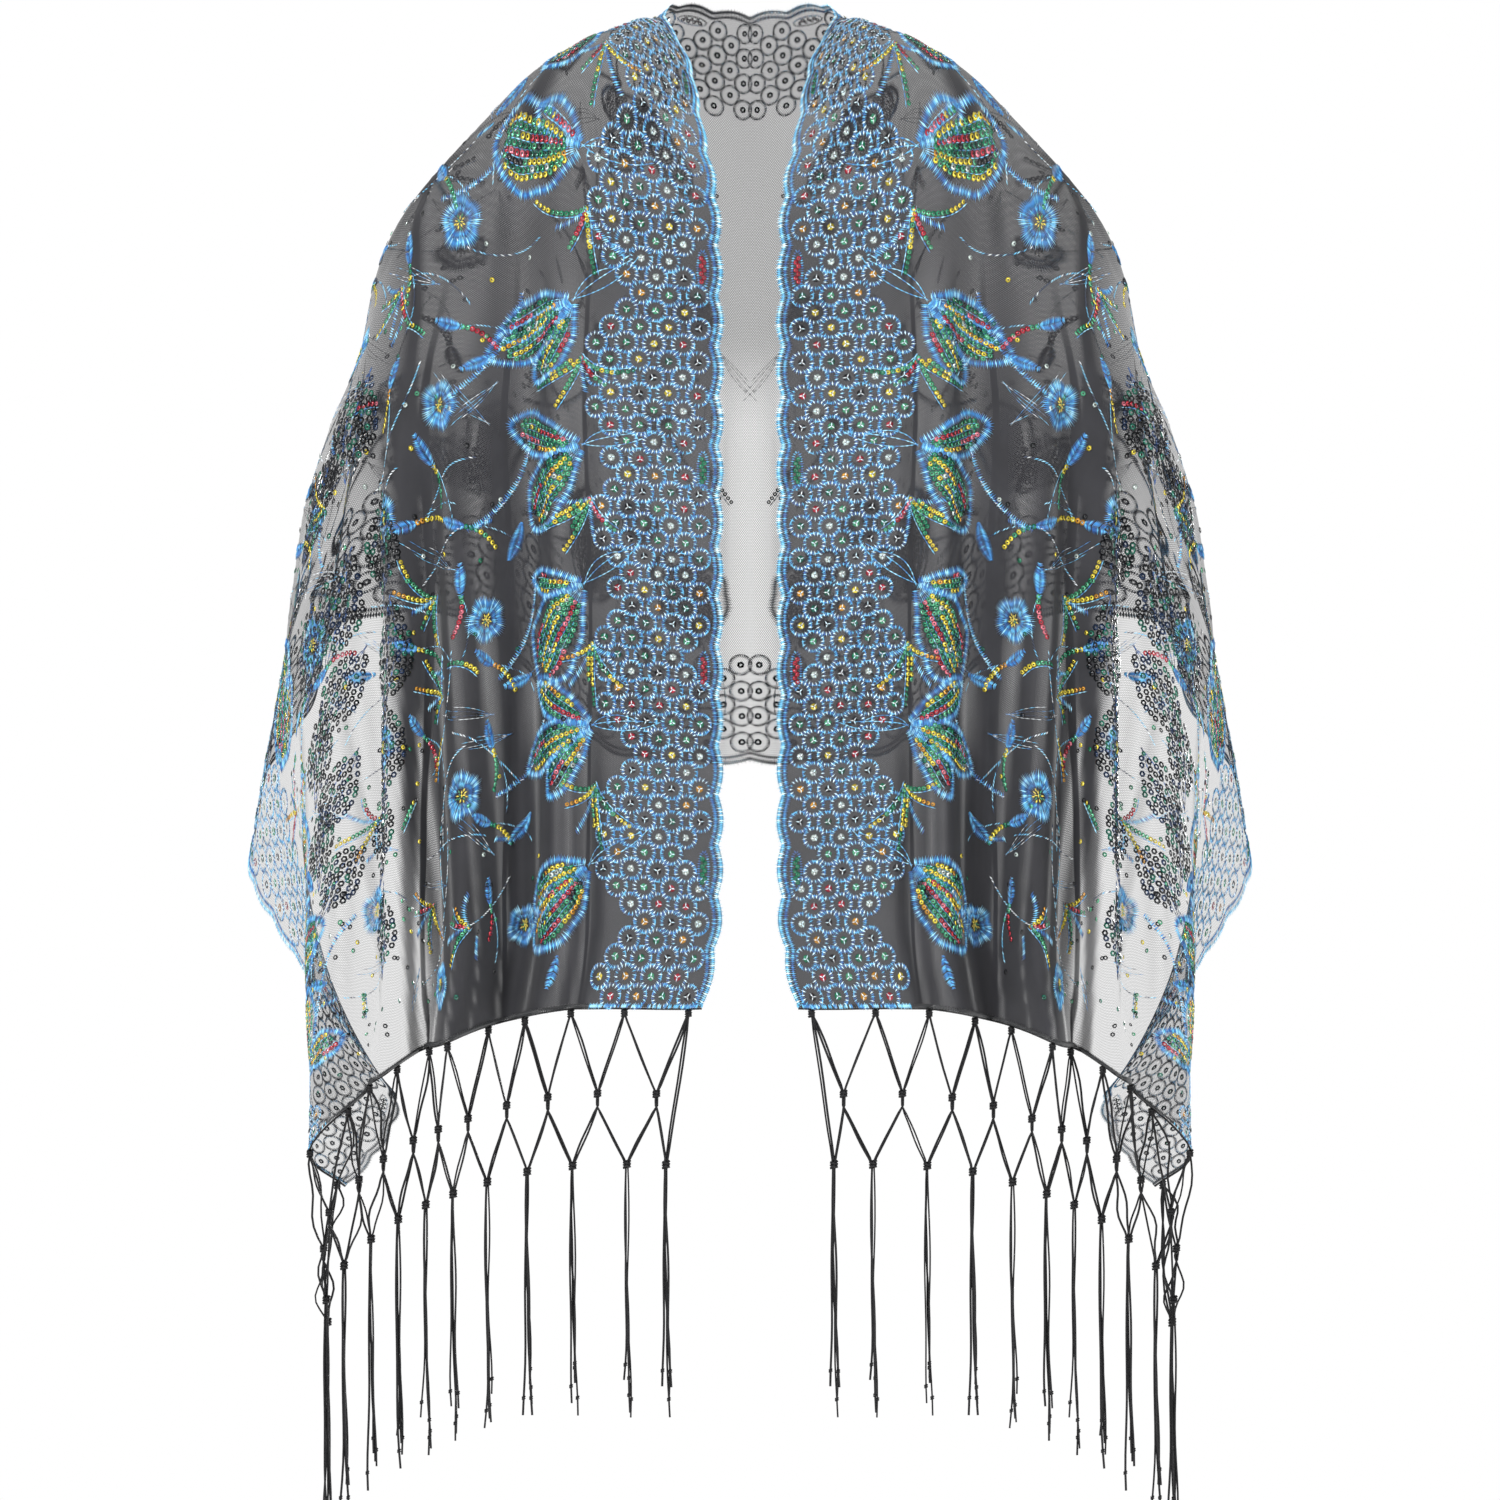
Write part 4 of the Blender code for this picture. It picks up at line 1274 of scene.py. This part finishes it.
# %% Loose sequins and the small work in the gaps
LOOSE_SEQUINS = 560
GAP_STEPS = (0.046, 0.040)
GAP_JITTER = 0.014
CLEAR_OF_MOTIFS = 0.030
BLOSSOM_CENTRE = 0.025


def scattered_sequins():
    """Single sequins strewn between the motifs, closer together towards the outer border."""
    for _ in range(LOOSE_SEQUINS):
        along = chance.uniform(0.02, 0.81)
        across = 0.12 + 0.34 * chance.uniform(0.0, 1.0) ** 0.45
        tint = some("jet", "jet", "leaf", "green", "gold", "emerald", "jet", "clear")
        add_sequin("side", (along, across), 0.0036, tint)


def small_work():
    """Stems, chains of sequins and small leaves that fill the gaps between the large motifs."""
    taken = np.array([row[:2] for row in BLOSSOMS + FLOWERS])
    blooms = taken[:len(BLOSSOMS)]
    blooms[:, 1] += np.where(blooms[:, 1] < 0.2, BLOSSOM_CENTRE, -BLOSSOM_CENTRE)
    number = 0
    for along in np.arange(0.03, 0.80, GAP_STEPS[0]):
        for across in np.arange(0.125, 0.46, GAP_STEPS[1]):
            number += 1
            spot = np.array([along, across]) + chance.uniform(-GAP_JITTER, GAP_JITTER, 2)
            if np.hypot(*(taken - spot).T).min() < CLEAR_OF_MOTIFS:
                continue
            turn = chance.uniform(0.2, 2.6)
            kind = number % 5
            if kind in (0, 3):
                stem(spot, turn, chance.uniform(0.045, 0.080), chance.uniform(-1.3, 1.3))
            elif kind == 1:
                sequin_leaf(spot, turn, chance.uniform(0.016, 0.030), chance.uniform(-1, 1),
                            LEAF_TINTS[number % len(LEAF_TINTS)])
            elif kind == 2:
                thread_leaf(spot, turn, chance.uniform(0.010, 0.018), chance.uniform(-0.6, 0.6))
            else:
                whiskers(spot, turn, chance.uniform(0.025, 0.040))


both_sides(motifs)
both_sides(small_work)
both_sides(scattered_sequins)

# %% Sew everything on
STITCH_THICKNESS = 0.75
SEQUIN_THICKNESS = 1.0
SEQUIN_TILT = 0.24
embroidery = []
for seed, (where, (stitches, sequins)) in enumerate(work.items()):
    embroidery.append(laid_piece(
        f"stitches_{where}", STITCH, stitches, rayon_thread,
        STITCH_THICKNESS, 0.0, seed, smooth=True))
    embroidery.append(laid_piece(
        f"sequins_{where}", SEQUIN, sequins, sequin_film,
        SEQUIN_THICKNESS, SEQUIN_TILT, seed, smooth=False))

# %% [markdown]
# ## The knotted fringe
# Four strands hang from each of twelve places on a short hem. Two go left and two go right to
# a first row of knots, where neighbours meet and part again, and from a second row they hang
# free. Each strand is one curve from hem to tip, with a little slack and waviness, because a
# straight one would look like wire. A knot is a tight coil round its bundle.

# %% Fringe sizes and the knots' places
HEM_GAP = 0.0009
BACKING_RADIUS = 0.0012
ROOT_COUNT = 12
ROOT_INSET = 0.010
ROOT_KNOT_DROP = 0.0031
KNOT_DROPS = (0.056, 0.105)
END_KNOT_SHARES = (0.7, 0.3)
FRINGE_LENGTH = 0.266
HEM_STEP = 0.010


def hem_cord_line(side):
    across = np.linspace(0.0, WIDTH, 60)
    hem = place(side * HALF_LENGTH, across)
    above = place(side * (HALF_LENGTH - HEM_STEP), across)
    down = (hem - above) / np.linalg.norm(hem - above, axis=1)[:, None]
    return across, hem + down * (HEM_GAP + BACKING_RADIUS)


def dropped(points, weights, drop):
    spot = sum((point * weight for point, weight in zip(points, weights)), Vector())
    return Vector((spot.x, spot.y, spot.z - drop))


def knot_places(side):
    across, line = hem_cord_line(side)
    line = line - (0.0, 0.0, ROOT_KNOT_DROP)
    places = np.linspace(ROOT_INSET, WIDTH - ROOT_INSET, ROOT_COUNT)
    root = [Vector([np.interp(p, across, line[:, k]) for k in range(3)]) for p in places]
    to_second = KNOT_DROPS[1] - KNOT_DROPS[0]
    first = [dropped(pair, (0.5, 0.5), KNOT_DROPS[0]) for pair in zip(root, root[1:])]
    second = [dropped(pair, (0.5, 0.5), to_second) for pair in zip(first, first[1:])]
    end_drop = KNOT_DROPS[1] - END_KNOT_SHARES[0] * KNOT_DROPS[0]
    second.insert(0, dropped((first[0], root[0]), END_KNOT_SHARES, end_drop))
    second.append(dropped((first[-1], root[-1]), END_KNOT_SHARES, end_drop))
    return root, first, second


# %% Strands and knots as curve points
STRAND_RADIUS = 0.0008
STRANDS_PER_KNOT = 4
PARTING = 0.009
TAUT_SLACK = 0.015
SLACK_GROWS = 0.27
SLACK_FROM = 0.45
STRANDS_APART = 0.0006
HANGING_SPREAD = 0.0020
LENGTH_VARIES = 0.014


def strand_routes(root, first, second):
    """Each strand's slack as a share of length, its stops, and the number of its last knot."""
    routes = []
    for i, start in enumerate(root):
        slack = TAUT_SLACK + SLACK_GROWS * max(0.0, i / ROOT_COUNT - SLACK_FROM)
        for j in (i - 1, i):
            middle = []
            if 0 <= j < len(first):
                middle = [first[j], first[j] - Vector((0.0, 0.0, PARTING))]
            for turn in (0, 1):
                last = min(max(j + turn, 0), len(second) - 1)
                stops = [start, *middle, second[last]]
                routes.append((slack * (0.6 + 0.8 * turn), stops, last))
    return routes


def stretch(start, end, slack, phase, count=9):
    """A strand's points between two knots, bowed by its slack and set a little apart."""
    slack *= (end - start).length
    side = Vector((math.cos(phase), math.sin(phase), 0.0))
    points = []
    for k in range(count):
        share = k / count
        bow = math.sin(math.pi * share)
        wave = math.sin(2 * math.pi * share + phase) * bow
        away = STRANDS_APART * min(1.0, 4 * bow) + slack * (0.6 * bow + 0.4 * wave)
        points.append(start.lerp(end, share) + side * away)
    return points


def hanging_strand(knot, length, phase, count=15):
    points = []
    for k in range(count):
        share = k / (count - 1)
        turn = phase + 1.3 * math.sin(3.0 * share + phase)
        out = 0.0007 + HANGING_SPREAD * share ** 0.7
        sway = 0.0012 * math.sin(9.0 * share + 2.1 * phase)
        points.append(Vector((
            knot.x + out * math.cos(turn) + sway * share,
            knot.y + out * math.sin(turn),
            knot.z - 0.001 - length * share,
        )))
    return points


def coil(centre, radius, height, turns):
    count = int(turns * 9)
    points = []
    for k in range(count + 1):
        x, y = radius * towards(2 * math.pi * turns * k / count)
        points.append(centre + Vector((x, y, height * (0.5 - k / count))))
    return points


# %% Black cord material
def cord_material():
    made, tree, shader = new_material(
        "black_cord", [("Roughness", 0.55), ("Specular IOR Level", 0.25)])
    coords = add_node(tree, "ShaderNodeTexCoord")
    twist = add_node(
        tree, "ShaderNodeTexWave",
        [("bands_direction", "DIAGONAL")], [("Scale", 330.0), ("Distortion", 1.5)])
    tone = use_group(tree, patchy_tone, [("Color", (0.005, 0.005, 0.006, 1)), ("Amount", 0.6)])
    grain = use_group(tree, thread_grain, [("Scale", 3000.0)])
    bump = add_node(
        tree, "ShaderNodeBump", values=[("Strength", 0.7), ("Distance", THREAD_RELIEF)])
    for target in (twist, tone, grain):
        tree.links.new(coords.outputs["Object"], target.inputs["Vector"])
    ply = maths(tree, "ADD", twist.outputs["Fac"], grain.outputs["Height"])
    tree.links.new(ply, bump.inputs["Height"])
    tree.links.new(bump.outputs["Normal"], shader.inputs["Normal"])
    tree.links.new(tone.outputs["Color"], shader.inputs["Base Color"])
    return made


black_cord = cord_material()


# %% Fringe
HEM_CORD_SHARE = 0.6
KNOT_WIRE = 0.0011
COIL_TURNS = 2.5
COILS = ((0.0017, 0.0046), (0.0020, 0.0042), (0.0021, 0.0048))
TIP_COIL = (0.0009, 0.0020, 1.5)
TIP_WIRE = 0.0007


def add_spline(curve, points, radius):
    spline = curve.splines.new("POLY")
    spline.points.add(len(points) - 1)
    for point, spot in zip(spline.points, points):
        point.co = (*spot, 1.0)
        point.radius = radius / STRAND_RADIUS


def fringe_curve(name, side):
    root, first, second = knot_places(side)
    curve = bpy.data.curves.new(name, "CURVE")
    curve.dimensions = "3D"
    curve.bevel_depth = STRAND_RADIUS
    curve.bevel_resolution = 0
    curve.use_fill_caps = True
    _, line = hem_cord_line(side)
    add_spline(curve, [Vector(p) for p in line], BACKING_RADIUS * HEM_CORD_SHARE)
    arrived = [0] * len(second)
    for number, (slack, stops, last) in enumerate(strand_routes(root, first, second)):
        points = []
        for leg, (start, end) in enumerate(zip(stops, stops[1:])):
            points += stretch(start, end, slack, 2.1 * number + 1.7 * leg)
        k = arrived[last]
        arrived[last] += 1
        length = FRINGE_LENGTH - KNOT_DROPS[1]
        length += LENGTH_VARIES * math.sin(2.3 * last + 1.9 * k)
        phase = 2 * math.pi * (k + 0.3) / STRANDS_PER_KNOT + last
        free = hanging_strand(second[last], length, phase)
        add_spline(curve, points + free, STRAND_RADIUS)
        add_spline(curve, coil(free[-2], *TIP_COIL), TIP_WIRE)
    print(name, sum(arrived), "strands, and from each last knot:", arrived)
    for knots, (radius, height) in zip((root, first, second), COILS):
        for knot in knots:
            add_spline(curve, coil(knot, radius, height, COIL_TURNS), KNOT_WIRE)
    return curve


def fringe_piece(name, side):
    """The fringe's curves made into one mesh, because a mesh is what the export writes."""
    curve = fringe_curve(name, side)
    holder = in_scene(name, curve)
    evaluated = holder.evaluated_get(bpy.context.evaluated_depsgraph_get())
    mesh = bpy.data.meshes.new_from_object(evaluated)
    bpy.data.objects.remove(holder, do_unlink=True)
    bpy.data.curves.remove(curve)
    mesh.name = name
    mesh.materials.clear()
    mesh.materials.append(black_cord)
    mesh.shade_smooth()
    print(name, len(mesh.polygons), "faces")
    return in_scene(name, mesh)


knotted_left = fringe_piece("knotted_fringe_left", -1)
knotted_right = fringe_piece("knotted_fringe_right", 1)

# %% [markdown]
# ## What stands for what
# Everything rides on the one body. The net shell stands for the net and border solids, and the
# knotted pieces for the two fringe solids.

# %% Ties to the imported part
pieces = [net, *embroidery, knotted_left, knotted_right]
for piece in pieces:
    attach(piece, "root")
cloth_nodes = [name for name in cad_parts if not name.startswith("fringe")]
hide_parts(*cloth_nodes)
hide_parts("fringe_left")
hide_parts("fringe_right")

# %% [markdown]
# ## Studio
# A white surround and large soft lamps give the even light of a shop photograph. The floor lies
# well below the fringe, as it would under a display stand.

# %% Floor, surround and lamps
FLOOR_Z = -1.45


def stage_floor():
    build = bmesh.new()
    bmesh.ops.create_grid(build, x_segments=1, y_segments=1, size=3.0,
                          matrix=Matrix.Translation((0.0, 0.0, FLOOR_Z)))
    mesh = bpy.data.meshes.new("floor")
    build.to_mesh(mesh)
    build.free()
    surface, _, _ = new_material("pale_floor", [
        ("Roughness", 0.8), ("Base Color", (0.92, 0.92, 0.92, 1.0)),
        ("Emission Color", (1.0, 1.0, 1.0, 1.0)), ("Emission Strength", 0.5)])
    mesh.materials.append(surface)
    in_scene("floor", mesh)


def lamp(name, spot, target, size, power):
    data = bpy.data.lights.new(name, "AREA")
    data.size = size
    data.energy = power
    made = in_scene(name, data)
    made.location = spot
    aim = Vector(target) - Vector(spot)
    made.rotation_euler = aim.to_track_quat("-Z", "Y").to_euler()


stage_floor()
lamp("key", (-1.5, -2.4, 1.1), (0, 0, -0.5), 0.7, 120.0)
lamp("fill", (2.0, -2.2, 0.0), (0, 0, -0.5), 1.0, 46.0)
lamp("back", (0.5, 2.5, -0.3), (0, 0, -0.4), 0.8, 50.0)


def surround(seen, lighting):
    """A white surround that lights less than it shows, so that the lamps shape the threads."""
    world = bpy.data.worlds.new("surround")
    world.use_nodes = True
    tree = world.node_tree
    path = add_node(tree, "ShaderNodeLightPath")
    level = add_node(
        tree, "ShaderNodeMapRange", values=[("To Min", lighting), ("To Max", seen)])
    tree.links.new(path.outputs["Is Camera Ray"], level.inputs["Value"])
    tree.links.new(level.outputs[0], tree.nodes["Background"].inputs["Strength"])
    tree.nodes["Background"].inputs["Color"].default_value = (1.0, 1.0, 1.0, 1.0)
    bpy.context.scene.world = world


surround(1.0, 0.5)
bpy.context.scene.view_settings.view_transform = "Standard"
print("lamps:", [item.name for item in bpy.data.lights])
